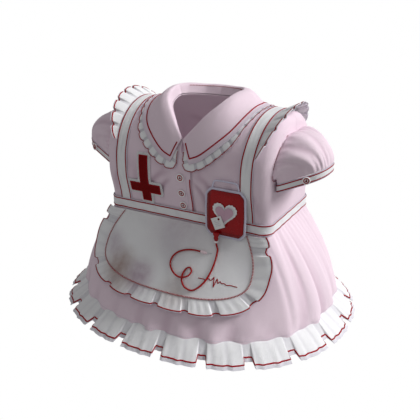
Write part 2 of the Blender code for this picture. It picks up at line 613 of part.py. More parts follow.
def skirt(cloth, trim):
    """The gathered skirt and, from inside its hem, the ruffle of wide lobes and narrow pleats."""
    u = np.arange(SKIRT_COLUMNS)[:, None] / SKIRT_COLUMNS
    z = np.array(SKIRT_ROWS)[None, :]
    grid = skirt_point(u, z) + skirt_normal(u, np.maximum(z, HEM_Z + 3)) * skirt_folds(u, z)[..., None]
    top = skirt_point(u, SKIRT_TOP_Z)
    wall("skirt", np.concatenate([top, grid], 1), cloth, CLOTH, (0, 0, -300), round_u=True)

    outline = oval(RUFFLE_HALF_WIDTH, RUFFLE_FRONT, RUFFLE_BACK, RUFFLE_SQUARENESS)
    outline = np.concatenate([outline, outline[:1]])
    marks = lengths(outline)
    pitch = marks[-1] / RUFFLE_PLEATS
    centres = pitch * (np.arange(RUFFLE_PLEATS) + FIRST_PLEAT)
    places, wave = pleated(centres, marks[-1], *PLEAT["hem"], closed=True)
    edge = walk(outline, marks, places % marks[-1])
    share = places / marks[-1] % 1
    outward = edge / np.linalg.norm(edge, axis=1, keepdims=True)
    edge = edge + outward * np.where(wave > 0, LOBE_OUT, -PLEAT_IN)[:, None]
    end_z = RUFFLE_Z + PLEAT_LIFT * (1 - wave) / 2
    inward = skirt_normal(share, HEM_Z + 3) * RUFFLE_INSIDE
    upper, hem = (np.concatenate([grid[:, row], grid[:1, row]]) for row in (-2, -1))
    rows = []
    for lower in (5, -2):
        ring = hem + (upper - hem) * lower / (SKIRT_ROWS[-2] - HEM_Z)
        rows.append(walk(ring, np.arange(SKIRT_COLUMNS + 1) / SKIRT_COLUMNS, share) - inward)
    rows.append(np.concatenate([edge, end_z[:, None]], 1))
    wall("hem_ruffle", np.stack(rows, 1), trim, TRIM, (0, 0, -300), round_u=True)


def apron(trim):
    """The apron's panel on the skirt's front, and the ruffle round its edge."""
    u = np.linspace(-1, 1, 15)[:, None]
    v = np.linspace(0, 1, 9)[None, :]
    low = outline_d(PANEL, 0.5 + 0.33 * u)
    x = PANEL["top"] * u + (low[..., 0] - PANEL["top"] * u) * np.sin(v * math.pi / 2)
    z = APRON_TOP_Z + (low[..., 1] - APRON_TOP_Z) * v
    wall("apron_panel", skirt_at(x, z, APRON_OUT + TRIM), trim, TRIM, (0, 0, -300))

    shares = np.linspace(0, 1, 401)
    marks = lengths(outline_d(FLOUNCE, shares))
    places, wave = pleated(np.interp(APRON_PLEATS, shares, marks), marks[-1], *PLEAT["apron"])
    share = np.interp(places, marks, shares)
    inner, outer = outline_d(PANEL, share), outline_d(FLOUNCE, share)
    span = outer - inner
    inner = inner + span / np.linalg.norm(span, axis=1, keepdims=True) * APRON_SEAM
    rows = []
    for reach in (0, 0.4, 1):
        x, z = (inner + (outer - inner) * reach).T
        rows.append(skirt_at(x, z, APRON_OUT + TRIM + reach * (3.6 + 3 * wave)))
    wall("apron_ruffle", np.stack(rows, 1), trim, TRIM, (0, 0, -300))


def cross(dark, lace):
    """The chest patch, a cross on a lace ground a little larger, both over one grid of lines."""
    c, b = CROSS, CROSS["border"]
    bar, low, high = c["bar"] / 2, c["arm_z"] - c["arm_height"] / 2, c["arm_z"] + c["arm_height"] / 2
    right = np.array([bar, bar + b, c["arm"], c["arm"] + b])
    xs = c["x"] + np.concatenate([-right[::-1], right])
    stops = [c["bottom_z"] - b, c["bottom_z"], low - b, low, high, high + b, c["top_z"], c["top_z"] + b]
    zs = [stops[0]]
    for a, z in zip(stops, stops[1:]):
        zs += list(np.linspace(a, z, max(1, round((z - a) / 18)) + 1)[1:])
    for name, grow, off, finish in (("cross_ground", b, 0, lace), ("cross_patch", 0, PATCH_WALL + GAP, dark)):
        made = bmesh.new()
        spots = torso(xs[None, :], np.array(zs)[:, None] - WAIST_Z, -1, PATCH_OFF + PATCH_WALL + off)
        grid = [[vert(made, spot) for spot in row] for row in spots]
        for i in range(len(zs) - 1):
            for j in range(len(xs) - 1):
                x, z = abs((xs[j] + xs[j + 1]) / 2 - c["x"]), (zs[i] + zs[i + 1]) / 2
                upright = x < bar + grow and c["bottom_z"] - grow < z < c["top_z"] + grow
                arm = x < c["arm"] + grow and low - grow < z < high + grow
                if upright or arm:
                    made.faces.new((grid[i][j], grid[i][j + 1], grid[i + 1][j + 1], grid[i + 1][j]))
        spare = [corner for corner in made.verts if not corner.link_faces]
        bmesh.ops.delete(made, geom=spare, context="VERTS")
        thicken(add_mesh(name, made, finish), PATCH_WALL)


def chamfered(grow, cut):
    """The bag's outline about its centre, its corners cut, as X and Z."""
    w, h = BAG["half_width"] + grow, BAG["half_height"] + grow
    right = [(w - cut, h), (w, h - cut), (w + 1.5, 0), (w, cut - h), (w - cut, -h)]
    return np.array(right + [(-x, z) for x, z in right[::-1]])


def bag(red, clear, trim, pink, paper):
    """The bag ornament: a padded pouch in a clear welded border, with loop, port, heart and tag."""
    place = lambda outline, off: [(BAG["x"] + x, BAG["y"] - off, BAG["z"] + z) for x, z in outline]
    edge, inner = chamfered(0, BAG["chamfer"]), chamfered(-BAG["border"], BAG["chamfer"] - 2)
    thick = BAG["border_thick"]
    loft("bag_border", [place(inner, 0), place(edge, 0), place(edge, thick), place(inner, thick)], clear, closed=True)
    body = chamfered(-BAG["border"] - 0.5, BAG["chamfer"] - 2.2)
    loft("bag_pouch", [place(body * share, off) for share, off in POUCH], red)
    round_line("bag_loop", place(LOOP, thick / 2), LOOP_RADIUS, clear)

    port_y = POUCH_FRONT - GAP - PORT[1][0] * PORT_FLAT
    turn = np.linspace(0, 2 * math.pi, 10, endpoint=False)
    for name, rows, flat, finish in (("bag_port", PORT, PORT_FLAT, red), ("port_cap", CAP, 0.8, trim)):
        loft(name, [[(PORT_X + r * math.cos(a), port_y + flat * r * math.sin(a), z) for a in turn] for r, z in rows],
             finish)

    ground_y = POUCH_FRONT - GAP
    pad_y = ground_y - HEART_GROUND_THICK - GAP
    plate("heart_ground", heart(*HEART_GROUND), ground_y, HEART_GROUND_THICK, trim)
    plate("heart_pad", heart(*HEART_PAD), pad_y, HEART_PAD_THICK, pink)
    cos, sin = math.cos(TAG["lean"]), math.sin(TAG["lean"])
    corners = [(x * TAG["half_width"], z * TAG["half_height"]) for x, z in ((-1, 1), (1, 1), (1, -1), (-1, -1))]
    outline = [(TAG["x"] + x * cos - z * sin, TAG["z"] + x * sin + z * cos) for x, z in corners]
    plate("tag", outline, pad_y - HEART_PAD_THICK - GAP, TAG["thick"], paper)


def heart(half_wide, half_high):
    """A heart's outline in X and Z on the pouch."""
    a = np.linspace(0, 2 * math.pi, 28, endpoint=False)
    z = 13 * np.cos(a) - 5 * np.cos(2 * a) - 2 * np.cos(3 * a) - np.cos(4 * a)
    return np.stack([HEART_X + np.sin(a) ** 3 * half_wide, HEART_Z + (z + 2.5) / 14.5 * half_high], -1)


def tube(red, paper):
    """The tube from the bag's port, tacked down over the apron, and the connector on its end."""
    on_apron = APRON_OUT + TRIM + GAP
    route = through(TUBE_ROUTE, np.linspace(0, 1, TUBE_POINTS))
    laid = skirt_at(route[:, 0], route[:, 1], on_apron + TUBE_RADIUS + 0.4 + route[:, 2])
    cap_end = np.array([PORT_X + 0.3, POUCH_FRONT - GAP - PORT[1][0] * PORT_FLAT, CAP[-1][1] - GAP - 0.4])
    round_line("tube", np.concatenate([[cap_end, cap_end + (0.6, -0.4, -4)], laid[1:]]), TUBE_RADIUS, red)
    x, z = np.array(CONNECTOR).T
    round_line("connector", skirt_at(x, z, on_apron + CONNECTOR_RADIUS), CONNECTOR_RADIUS, paper)


for old in list(bpy.data.objects):
    bpy.data.objects.remove(old, do_unlink=True)
dress = bpy.data.collections.new("nurse_dress")
bpy.context.scene.collection.children.link(dress)

pink_cloth = material("pink_cloth", (0.80, 0.62, 0.70), 0.75)
white_cloth = material("white_cloth", (0.80, 0.80, 0.82), 0.7)
dark_red = material("dark_red", (0.18, 0.005, 0.008), 0.6)
bag_red = material("bag_red", (0.25, 0.0, 0.005), 0.25)
clear_plastic = material("clear_plastic", (0.70, 0.72, 0.85), 0.2)
button_shell = material("button_shell", (0.8, 0.74, 0.76), 0.3)
heart_pink = material("heart_pink", (0.72, 0.55, 0.62), 0.7)
card = material("card", (0.8, 0.8, 0.8), 0.6)

bodice(pink_cloth)
sleeves(pink_cloth, white_cloth, button_shell)
front_buttons(button_shell)
waistband(white_cloth)
straps(white_cloth)
shoulder_frills(white_cloth)
collar(pink_cloth)
collar_frill(white_cloth)
skirt(pink_cloth, white_cloth)
apron(white_cloth)
cross(dark_red, white_cloth)
bag(bag_red, clear_plastic, white_cloth, heart_pink, card)
tube(bag_red, card)
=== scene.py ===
import math

import bpy
import numpy as np
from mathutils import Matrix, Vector


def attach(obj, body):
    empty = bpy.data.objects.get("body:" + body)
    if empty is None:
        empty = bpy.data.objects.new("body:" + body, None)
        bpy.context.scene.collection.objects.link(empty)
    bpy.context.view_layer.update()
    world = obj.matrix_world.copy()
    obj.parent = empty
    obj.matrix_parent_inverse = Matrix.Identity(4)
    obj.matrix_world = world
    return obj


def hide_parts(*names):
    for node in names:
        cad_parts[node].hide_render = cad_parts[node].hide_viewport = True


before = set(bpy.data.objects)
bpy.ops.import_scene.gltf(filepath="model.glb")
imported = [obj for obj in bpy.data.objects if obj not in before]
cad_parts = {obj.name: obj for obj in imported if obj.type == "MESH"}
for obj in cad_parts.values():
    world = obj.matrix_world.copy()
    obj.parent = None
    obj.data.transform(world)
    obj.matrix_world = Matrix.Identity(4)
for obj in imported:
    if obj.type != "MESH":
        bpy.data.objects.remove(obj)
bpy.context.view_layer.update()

# Lengths below are millimetres in the frame's axes; mm turns them to metres in the meshes.
mm = 0.001
pi = math.pi
print("frame loaded")


def ease(t):
    t = np.clip(t, 0, 1)
    return t * t * (3 - 2 * t)


def through(rows, share):  # a smooth curve through the rows, read at shares 0 to 1 of their number
    rows = np.array(rows, float)
    at = np.clip(np.asarray(share, float), 0, 1) * (len(rows) - 1)
    i = np.minimum(at.astype(int), len(rows) - 2)
    f = (at - i)[..., None]
    slope = np.gradient(rows, axis=0)
    start = (2 * f**3 - 3 * f**2 + 1) * rows[i] + (f**3 - 2 * f**2 + f) * slope[i]
    return start + (3 * f**2 - 2 * f**3) * rows[i + 1] + (f**3 - f**2) * slope[i + 1]


def unit(v):
    return v / np.maximum(np.linalg.norm(v, axis=-1, keepdims=True), 1e-9)


def lengths(points):
    return np.concatenate([[0], np.cumsum(np.linalg.norm(np.diff(points, axis=0), axis=1))])


def walk(points, marks, places):  # rows of a table read at places between its marks
    return np.stack([np.interp(places, marks, column) for column in np.asarray(points, float).T], -1)


def evenly(points, step):  # the same polyline with points at equal steps
    marks = lengths(points)
    return walk(points, marks, np.linspace(0, marks[-1], max(3, round(marks[-1] / step) + 1)))


# Surface of the figure that the dress is cut on: an upright box with round corners, arched over
# at the shoulders
figure = dict(
    shoulderZ=4, chestZ=-127, waistZ=-232, bustRise=80, waistDepth={-1: 128, 1: 125}, chestDepth={-1: 142, 1: 130},
    halfWidth=218, shoulderHalfWidth=224, corner=24, neckRise=24, neckSpread=100,
)
upright = figure["chestZ"] - figure["waistZ"]
arch = figure["shoulderZ"] - figure["chestZ"]
archLength = pi / 2 * (figure["chestDepth"][-1] + arch) / 2
top = upright + archLength


def torsoDepth(h, side):
    low, high = figure["waistDepth"][side], figure["chestDepth"][side]
    return low + (high - low) * ease(h / figure["bustRise"])


def torsoTurn(h):
    return np.clip((h - upright) / archLength, 0, 1.02) * pi / 2


def halfWidth(h):
    low, high = figure["halfWidth"], figure["shoulderHalfWidth"]
    return low + (high - low) * ease(np.sin(torsoTurn(h)))


# s runs along the surface from the centre line, h up the front (-1) or back (1) and over the shoulder
def torsoPoint(s, h, side):
    s, h = np.broadcast_arrays(np.asarray(s, float), np.asarray(h, float))
    turn, corner = torsoTurn(h), figure["corner"]
    outY, outZ = np.cos(turn) / figure["chestDepth"][side], np.sin(turn) / arch
    length = np.hypot(outY, outZ)
    z = np.where(h < upright, figure["waistZ"] + h, figure["chestZ"] + arch * np.sin(turn))
    flat = halfWidth(h) - corner
    far = np.abs(s)
    bend = np.clip((far - flat) / corner, 0, pi / 2)
    inset = corner * (1 - np.cos(bend)) + np.maximum(far - flat - corner * pi / 2, 0)
    x = np.minimum(far, flat) + corner * np.sin(bend)
    y = side * (torsoDepth(h, side) * np.cos(turn) - outY / length * inset)
    rise = figure["neckRise"] * np.exp(-((far / figure["neckSpread"]) ** 2)) * np.sin(turn) ** 2
    return np.stack([np.sign(s) * x, y, z - outZ / length * inset + rise], -1)


def torso(s, h, side=-1, out=0.0):  # torsoPoint moved out along its normal
    s, h, out = np.broadcast_arrays(*(np.asarray(value, float) for value in (s, h, out)))
    across = torsoPoint(s + 0.5, h, side) - torsoPoint(s - 0.5, h, side)
    along = torsoPoint(s, h + 0.5, side) - torsoPoint(s, h - 0.5, side)
    return torsoPoint(s, h, side) - side * unit(np.cross(across, along)) * out[..., None]


def overTorso(s, climb, out=0.0):  # one measure up the front, over the shoulder and down the back
    climb = np.asarray(climb, float)
    front = torso(s, np.minimum(climb, top), -1, out)
    back = torso(s, np.minimum(2 * top - climb, top), 1, out)
    return np.where(np.broadcast_to(climb <= top, front.shape[:-1])[..., None], front, back)


def atInset(inset, h):  # s at which the surface has turned in this far from the front or back
    inset, corner = np.asarray(inset, float), figure["corner"]
    return halfWidth(h) - corner + corner * np.arccos(1 - np.clip(inset / corner, 0, 1)) + np.maximum(inset - corner, 0)


# Surface of the skirt: the waist ring spreads to a squared oval at the hem
skirtCut = dict(
    bandTop=-229, bandBottom=-256, bandOut=2.6, skirtTop=-239.6, hem=-473, halfWide=334, halfDeep=292, square=2.24,
    folds=24, foldStart=0.5, foldDepth=4.5, wall=1.6, columns=480, rows=62, ringSteps=240, hemLength=2060,
)


def ringOf(outline, count):
    closed = np.concatenate([outline, outline[:1]])
    marks = lengths(closed)
    return walk(closed, marks, np.linspace(0, marks[-1], count, endpoint=False))


def waistOutline():
    right = [torso(np.linspace(0, atInset(figure["waistDepth"][side], 0), 120), 0, side)[:, :2] for side in (-1, 1)]
    right = np.concatenate([right[0], right[1][-2::-1]])
    return np.concatenate([right, right[-2:0:-1] * (-1, 1)])


def oval(halfWide, front, back, square):
    turn = np.linspace(0, 2 * pi, 720, endpoint=False)
    x = halfWide * np.sign(np.sin(turn)) * np.abs(np.sin(turn)) ** (2 / square)
    deep = np.where(np.cos(turn) > 0, front, back)
    return np.stack([x, -deep * np.sign(np.cos(turn)) * np.abs(np.cos(turn)) ** (2 / square)], -1)


ringSteps = skirtCut["ringSteps"]
hemOval = oval(skirtCut["halfWide"], skirtCut["halfDeep"], skirtCut["halfDeep"], skirtCut["square"])
rings = np.concatenate([ringOf(waistOutline(), ringSteps), ringOf(hemOval, ringSteps)], 1)
rings = np.concatenate([rings, rings[:1]])


def skirtShare(z):
    return (skirtCut["bandBottom"] - np.asarray(z, float)) / (skirtCut["bandBottom"] - skirtCut["hem"])


def skirtPoint(u, z):  # u is the share of the way round from the centre front
    u, z = np.broadcast_arrays(np.asarray(u, float), np.asarray(z, float))
    up = 1 - skirtShare(z).clip(0, 1)
    ring = walk(rings, np.arange(ringSteps + 1) / ringSteps, u % 1)
    flat = ring[..., :2] + (ring[..., 2:] - ring[..., :2]) * (1 - np.stack([up**1.75, up**1.1], -1))
    return np.concatenate([flat, z[..., None]], -1)


def skirtNormal(u, z):
    across = skirtPoint(u + 0.004, z) - skirtPoint(u - 0.004, z)
    return unit(np.cross(skirtPoint(u, z - 2) - skirtPoint(u, z + 2), across))


def skirtCovered(u, t):  # 1 where the apron lies on the skirt
    offCentre = np.minimum(u % 1, 1 - u % 1)
    return (1 - ease((offCentre - 0.13) / 0.05)) * (1 - ease((t - 0.72) / 0.2))


def skirtFolds(u, z):
    t = skirtShare(z).clip(0, 1)
    uneven = 0.7 + 0.3 * np.sin(2 * pi * 5 * u + 0.6)
    wave = np.cos(2 * pi * skirtCut["folds"] * u + 0.9 * np.sin(2 * pi * 3 * u))
    depth = skirtCut["foldStart"] + (skirtCut["foldDepth"] - skirtCut["foldStart"]) * t
    return wave * uneven * depth * (1 - 0.85 * skirtCovered(u, t))


def skirtAt(x, z, out=0.0):  # the skirt's front at this X and Z, found by halving
    x, z, out = np.broadcast_arrays(*(np.asarray(value, float) for value in (x, z, out)))
    low, high = np.full(x.shape, -0.24), np.full(x.shape, 0.24)
    for _ in range(30):
        u = (low + high) / 2
        short = skirtPoint(u, z)[..., 0] < x
        low, high = np.where(short, u, low), np.where(short, high, u)
    return skirtPoint(u, z) + skirtNormal(u, z) * out[..., None]


class Wire:  # a shader socket that takes arithmetic
    def __init__(self, finish, socket):
        self.finish, self.socket = finish, socket

    def calc(self, operation, a, b=0.0):
        return self.finish.node("Math", dict(operation=operation), {0: a, 1: b})

    def __add__(self, other): return self.calc("ADD", self, other)
    def __radd__(self, other): return self.calc("ADD", other, self)
    def __sub__(self, other): return self.calc("SUBTRACT", self, other)
    def __rsub__(self, other): return self.calc("SUBTRACT", other, self)
    def __mul__(self, other): return self.calc("MULTIPLY", self, other)
    def __rmul__(self, other): return self.calc("MULTIPLY", other, self)
    def sine(self): return self.calc("SINE", self)
    def most(self, other): return self.calc("MINIMUM", self, other)


class Finish:  # a material on one Principled shader
    def __init__(self, name, colour, rough, fixed=None):
        self.material = bpy.data.materials.new(name)
        self.material.use_nodes = True
        self.tree = self.material.node_tree
        self.shader = self.tree.nodes["Principled BSDF"]
        self.material.diffuse_color = (*colour, 1)
        for socket, value in {"Base Color": (*colour, 1), "Roughness": rough, **(fixed or {})}.items():
            self.shader.inputs[socket].default_value = value

    def feed(self, socket, value):
        if isinstance(value, Wire):
            self.tree.links.new(value.socket, socket)
        else:
            socket.default_value = value

    def node(self, kind, settings=None, values=None, out=0):
        made = self.tree.nodes.new("ShaderNode" + kind)
        for key, value in (settings or {}).items():
            setattr(made, key, value)
        for key, value in (values or {}).items():
            self.feed(made.inputs[key], value)
        return Wire(self, made.outputs[out])

    def noise(self, scale, detail=2.0, rough=0.5):
        where = self.node("TexCoord", out=3)
        return self.node("TexNoise", None, {"Vector": where, "Scale": scale, "Detail": detail, "Roughness": rough})

    def mix(self, factor, a, b):
        return self.node("Mix", dict(data_type="RGBA"), {0: factor, 6: a, 7: b}, out=2)

    def painted(self, name):
        return self.node("Attribute", dict(attribute_name=name), out=2)

    def spot(self, x, y, z, radius):  # 1 at a place on the object, falling to 0 at the radius
        where = self.node("TexCoord", out=3)
        place = (x * mm, y * mm, z * mm)
        gap = self.node("VectorMath", dict(operation="DISTANCE"), {0: where, 1: place}, out=1)
        settings = dict(interpolation_type="SMOOTHSTEP")
        return self.node("MapRange", settings, {0: gap, 1: 0.0, 2: radius * mm, 3: 1.0, 4: 0.0})

    def bump(self, height, distance, strength=1.0):
        values = {"Height": height, "Distance": distance, "Strength": strength}
        self.feed(self.shader.inputs["Normal"], self.node("Bump", None, values))


# A woven cloth: plain weave and slub as bump, a broad soft unevenness of tone, painted shade in the
# creases and tinted along the rims. Spots are X, Y, Z, radius, strength and tint: painted shade on the chest, soft
# darker blotches on the apron.
def clothFinish(name, colour, deep, rim=None, rough=0.82, weave=0.9, crumple=0.8, spots=()):
    made = Finish(name, colour, rough, {"Specular IOR Level": 0.25, "Sheen Weight": 0.12, "Sheen Roughness": 0.5})
    tone = made.mix(made.noise(7.0, 3.0), (*(c * 0.95 for c in colour), 1), (*(min(1, c * 1.05) for c in colour), 1))
    slub = made.noise(260.0, 2.0)
    tone = made.mix(slub * 0.1, tone, (*deep, 1))
    # painted shade: darker towards the deep colour in folds, pleats and ripples, from a painted attribute
    tone = made.mix(made.painted("creaseAndShade").most(1.0), tone, (*deep, 1))
    if rim:
        tone = made.mix(made.painted("rim").most(1.0), tone, (*rim, 1))
    for x, y, z, radius, strength, tint in spots:
        patch = made.spot(x, y, z, radius) * strength * (0.4 + 1.2 * made.noise(55.0, 3.0))
        tone = made.mix(patch.most(1.0), tone, (*tint, 1))
    made.feed(made.shader.inputs["Base Color"], tone)
    cut = made.node("UVMap", dict(uv_map="cut"))
    parts = made.tree.nodes.new("ShaderNodeSeparateXYZ")
    made.feed(parts.inputs[0], cut)
    thread = 2 * pi / (weave * mm)
    warp, weft = ((Wire(made, parts.outputs[k]) * thread).sine() for k in (0, 1))
    height = warp * weft * 0.18 + slub * 0.25 + made.noise(38.0, 3.0, 0.55) * crumple * 2
    made.bump(height, 0.0011, 0.55)
    made.feed(made.shader.inputs["Roughness"], made.noise(120.0) * 0.16 + (rough - 0.08))
    return made.material


# Satin stitch, cord and lace: ridges that run across the length of the line
def threadFinish(name, colour, rough=0.5, pitch=1.1):
    made = Finish(name, colour, rough, {"Specular IOR Level": 0.08})
    parts = made.tree.nodes.new("ShaderNodeSeparateXYZ")
    made.feed(parts.inputs[0], made.node("UVMap", dict(uv_map="cut")))
    along, round_ = (Wire(made, parts.outputs[k]) for k in (0, 1))
    twist = ((along * (2 * pi / (pitch * mm))) + round_ * 1500.0).sine()
    tone = made.mix(made.noise(150.0), (*(c * 0.8 for c in colour), 1), (*(min(1, c * 1.15) for c in colour), 1))
    made.feed(made.shader.inputs["Base Color"], made.mix((twist * 0.5 + 0.5) * 0.25, tone, (*(c * 0.6 for c in colour), 1)))
    made.bump(twist, 0.0004, 0.6)
    made.feed(made.shader.inputs["Roughness"], made.noise(200.0) * 0.2 + (rough - 0.1))
    return made.material


def glossFinish(name, colour, rough, wrinkle=0.0, coat=0.2, fixed=None, shade=0.75):
    made = Finish(name, colour, rough, {"Coat Roughness": 0.1, "Coat Weight": coat, "Specular IOR Level": 0.2, **(fixed or {})})
    tone = made.mix(made.noise(45.0, 3.0), (*(c * shade for c in colour), 1), (*(min(1, c * 1.15) for c in colour), 1))
    # painted shade: darker where the painted attribute is set, on the bag's left and lower facets
    tone = made.mix(made.painted("creaseAndShade").most(1.0), tone, (*(c * 0.55 for c in colour), 1))
    made.feed(made.shader.inputs["Base Color"], tone)
    made.bump(made.noise(60.0, 2.0) * wrinkle + made.noise(900.0) * 0.03, 0.002, 0.5)
    made.feed(made.shader.inputs["Roughness"], made.noise(140.0) * 0.14 + (rough - 0.07))
    return made.material


# The deeper pink and white tone the slub and are also the painted shade in creases; the deeper pink is also the painted
# shade on the chest.
colours = dict(
    pink=(0.83, 0.68, 0.765), pinkSlubAndShade=(0.56, 0.40, 0.49), white=(0.86, 0.86, 0.875), whiteSlubAndShade=(0.52, 0.50, 0.56),
    lavender=(0.60, 0.57, 0.66), red=(0.40, 0.006, 0.016), darkRed=(0.20, 0.001, 0.002), bag=(0.36, 0.002, 0.005),
    film=(0.66, 0.64, 0.78), shell=(0.9, 0.86, 0.88), padPink=(0.62, 0.40, 0.50), card=(0.83, 0.83, 0.82),
    steel=(0.55, 0.55, 0.58), hub=(0.82, 0.66, 0.70), brown=(0.42, 0.32, 0.30), plum=(0.42, 0.30, 0.38),
)
# Soft darker brown and plum blotches on the apron: several on its lower part and one broad one along its top below the
# waistband
apronSpots = [
    (-139, -222, -368, 72, 0.95, colours["brown"]), (-69, -238, -371, 62, 0.85, colours["plum"]),
    (-178, -190, -330, 55, 0.5, colours["plum"]), (40, -235, -392, 60, 0.45, colours["brown"]),
    (0, -150, -262, 120, 0.35, colours["plum"]), (-120, -235, -415, 60, 0.5, colours["brown"]),
]
# Painted shade on the chest below the collar, as soft deeper pink patches
chestShadeSpots = [
    (-143, -140, -137, 48, 0.3, colours["pinkSlubAndShade"]), (143, -140, -96, 48, 0.35, colours["pinkSlubAndShade"]),
    (-60, -140, -110, 50, 0.3, colours["pinkSlubAndShade"]), (60, -140, -110, 50, 0.3, colours["pinkSlubAndShade"]),
]
pinkCloth = clothFinish("pinkCotton", colours["pink"], colours["pinkSlubAndShade"], colours["lavender"], spots=chestShadeSpots)
whiteCloth = clothFinish("whiteCotton", colours["white"], colours["whiteSlubAndShade"], colours["lavender"])
apronCloth = clothFinish("blotchedApronCotton", colours["white"], colours["whiteSlubAndShade"], colours["lavender"], spots=apronSpots)
redThread = threadFinish("redSatinStitch", colours["red"])
darkThread = threadFinish("darkRedSatinStitch", colours["darkRed"], 0.6, 1.6)
laceThread = threadFinish("whiteLaceThread", colours["white"], 0.7, 1.4)
greyThread = threadFinish("lavenderThread", colours["lavender"], 0.7)
bagVinyl = glossFinish("redBagVinyl", colours["bag"], 0.26, 0.8)
filmVinyl = glossFinish("clearWeldedFilm", colours["film"], 0.24, 0.3, fixed={"Transmission Weight": 0.0})
tubeVinyl = glossFinish("redTubeVinyl", colours["bag"], 0.2, 0.1, 0.3)
shellPlastic = glossFinish("buttonShell", colours["shell"], 0.28, 0.1, 0.4, shade=0.9)
hubPlastic = glossFinish("paleHubPlastic", colours["hub"], 0.35, 0.05, shade=0.9)
steelMetal = glossFinish("needleSteel", colours["steel"], 0.3, 0.0, fixed={"Metallic": 0.8}, shade=0.9)
padCloth = clothFinish("pinkPadSatin", colours["padPink"], colours["plum"], rough=0.6)
cardPaper = clothFinish("tagCard", colours["card"], colours["whiteSlubAndShade"], weave=0.5, crumple=0.2)
print("finishes made")


class Surface:  # a grid of points with outward normals; a place on it is a fractional row and column
    def __init__(self, grid, centre, ring=False):
        self.grid, self.ring = grid, ring
        wrapped = np.concatenate([grid[-1:], grid, grid[:1]]) if ring else grid
        across = np.gradient(wrapped, axis=0)
        across = across[1:-1] if ring else across
        normal = unit(np.cross(across, np.gradient(grid, axis=1)))
        self.turned = (normal * (grid - np.array(centre, float))).sum() < 0
        self.normal = -normal if self.turned else normal
        self.rows, self.columns = grid.shape[:2]

    def at(self, i, j, lift=0.0):
        i, j = np.broadcast_arrays(np.asarray(i, float), np.asarray(j, float))
        last = self.rows if self.ring else self.rows - 1
        i0 = np.clip(np.floor(i), 0, last - 1).astype(int)
        j0 = np.clip(np.floor(j), 0, self.columns - 2).astype(int)
        fi, fj = (i - i0)[..., None], (j - j0)[..., None]
        i1 = (i0 + 1) % self.rows
        def read(table):
            low = table[i0, j0] * (1 - fi) + table[i1, j0] * fi
            high = table[i0, j0 + 1] * (1 - fi) + table[i1, j0 + 1] * fi
            return low * (1 - fj) + high * fj
        up = unit(read(self.normal))
        return read(self.grid) + up * np.asarray(lift, float)[..., None], up

    def inset(self, distance, far=True):  # column places at this distance from the far or near edge
        steps = np.linalg.norm(np.diff(self.grid, axis=1), axis=-1)
        marks = np.concatenate([np.zeros((self.rows, 1)), np.cumsum(steps, 1)], 1)
        want = marks[:, -1] - distance if far else np.full(self.rows, distance)
        return np.array([np.interp(w, row, np.arange(self.columns)) for w, row in zip(want, marks)])

    def edgeLine(self, distance, far=True, lift=0.3):
        return self.at(np.arange(self.rows), self.inset(distance, far), lift)

    def rimShade(self, width, far=True, near=False):  # 1 at the edge, 0 this far in
        steps = np.linalg.norm(np.diff(self.grid, axis=1), axis=-1)
        marks = np.concatenate([np.zeros((self.rows, 1)), np.cumsum(steps, 1)], 1)
        shade = np.zeros(marks.shape)
        if far:
            shade = np.maximum(shade, 1 - ease((marks[:, -1:] - marks) / width - 0.5))
        if near:
            shade = np.maximum(shade, 1 - ease(marks / width - 0.5))
        return shade


made = []


def addPiece(name, mesh, finish, nodes=()):
    piece = bpy.data.objects.new(f"{name}_piece" if nodes else name, mesh)
    bpy.context.scene.collection.objects.link(piece)
    mesh.materials.append(finish)
    mesh.shade_smooth()
    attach(piece, "root")
    if nodes:
        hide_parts(*nodes)
    made.append(piece)
    return piece


def paint(mesh, name, values):
    layer = mesh.attributes.new(name, "FLOAT", "POINT")
    layer.data.foreach_set("value", np.ascontiguousarray(values, np.float32).ravel())


# A cloth wall on a surface: one face for each cell, a UV map in metres of cloth, and a thickness
# that goes inward
def clothPiece(name, surface, finish, thick, creaseAndShade=None, rim=None, nodes=None):
    n, m = surface.rows, surface.columns
    last = n if surface.ring else n - 1
    i, j = np.meshgrid(np.arange(last), np.arange(m - 1), indexing="ij")
    corners = [(i, j), (i + 1, j), (i + 1, j + 1), (i, j + 1)]
    if surface.turned:
        corners = corners[::-1]
    faces = np.stack([(a % n) * m + b for a, b in corners], -1).reshape(-1, 4)
    places = np.stack([a * (m) + b for a, b in corners], -1).reshape(-1)
    mesh = bpy.data.meshes.new(name)
    mesh.from_pydata((surface.grid.reshape(-1, 3) * mm).tolist(), [], faces.tolist())
    grid = np.concatenate([surface.grid, surface.grid[:1]]) if surface.ring else surface.grid
    across = np.concatenate([[0], np.cumsum(np.linalg.norm(np.diff(grid[:, m // 2], axis=0), axis=-1))])
    along = np.concatenate([[0], np.cumsum(np.linalg.norm(np.diff(grid[n // 2], axis=0), axis=-1))])
    table = np.stack(np.broadcast_arrays(across[:, None], along[None, :]), -1).reshape(-1, 2)
    mesh.uv_layers.new(name="cut").data.foreach_set("uv", (table[places] * mm).astype(np.float32).ravel())
    # painted attributes: painted shade in folds, pleats and ripples, and the lavender tint along the edges
    for label, values in (("creaseAndShade", creaseAndShade), ("rim", rim)):
        if values is not None:
            paint(mesh, label, np.broadcast_to(values, (n, m)))
    piece = addPiece(name, mesh, finish, [name] if nodes is None else nodes)
    wall = piece.modifiers.new("Wall", "SOLIDIFY")
    wall.thickness = thick * mm
    wall.offset = -1
    return piece


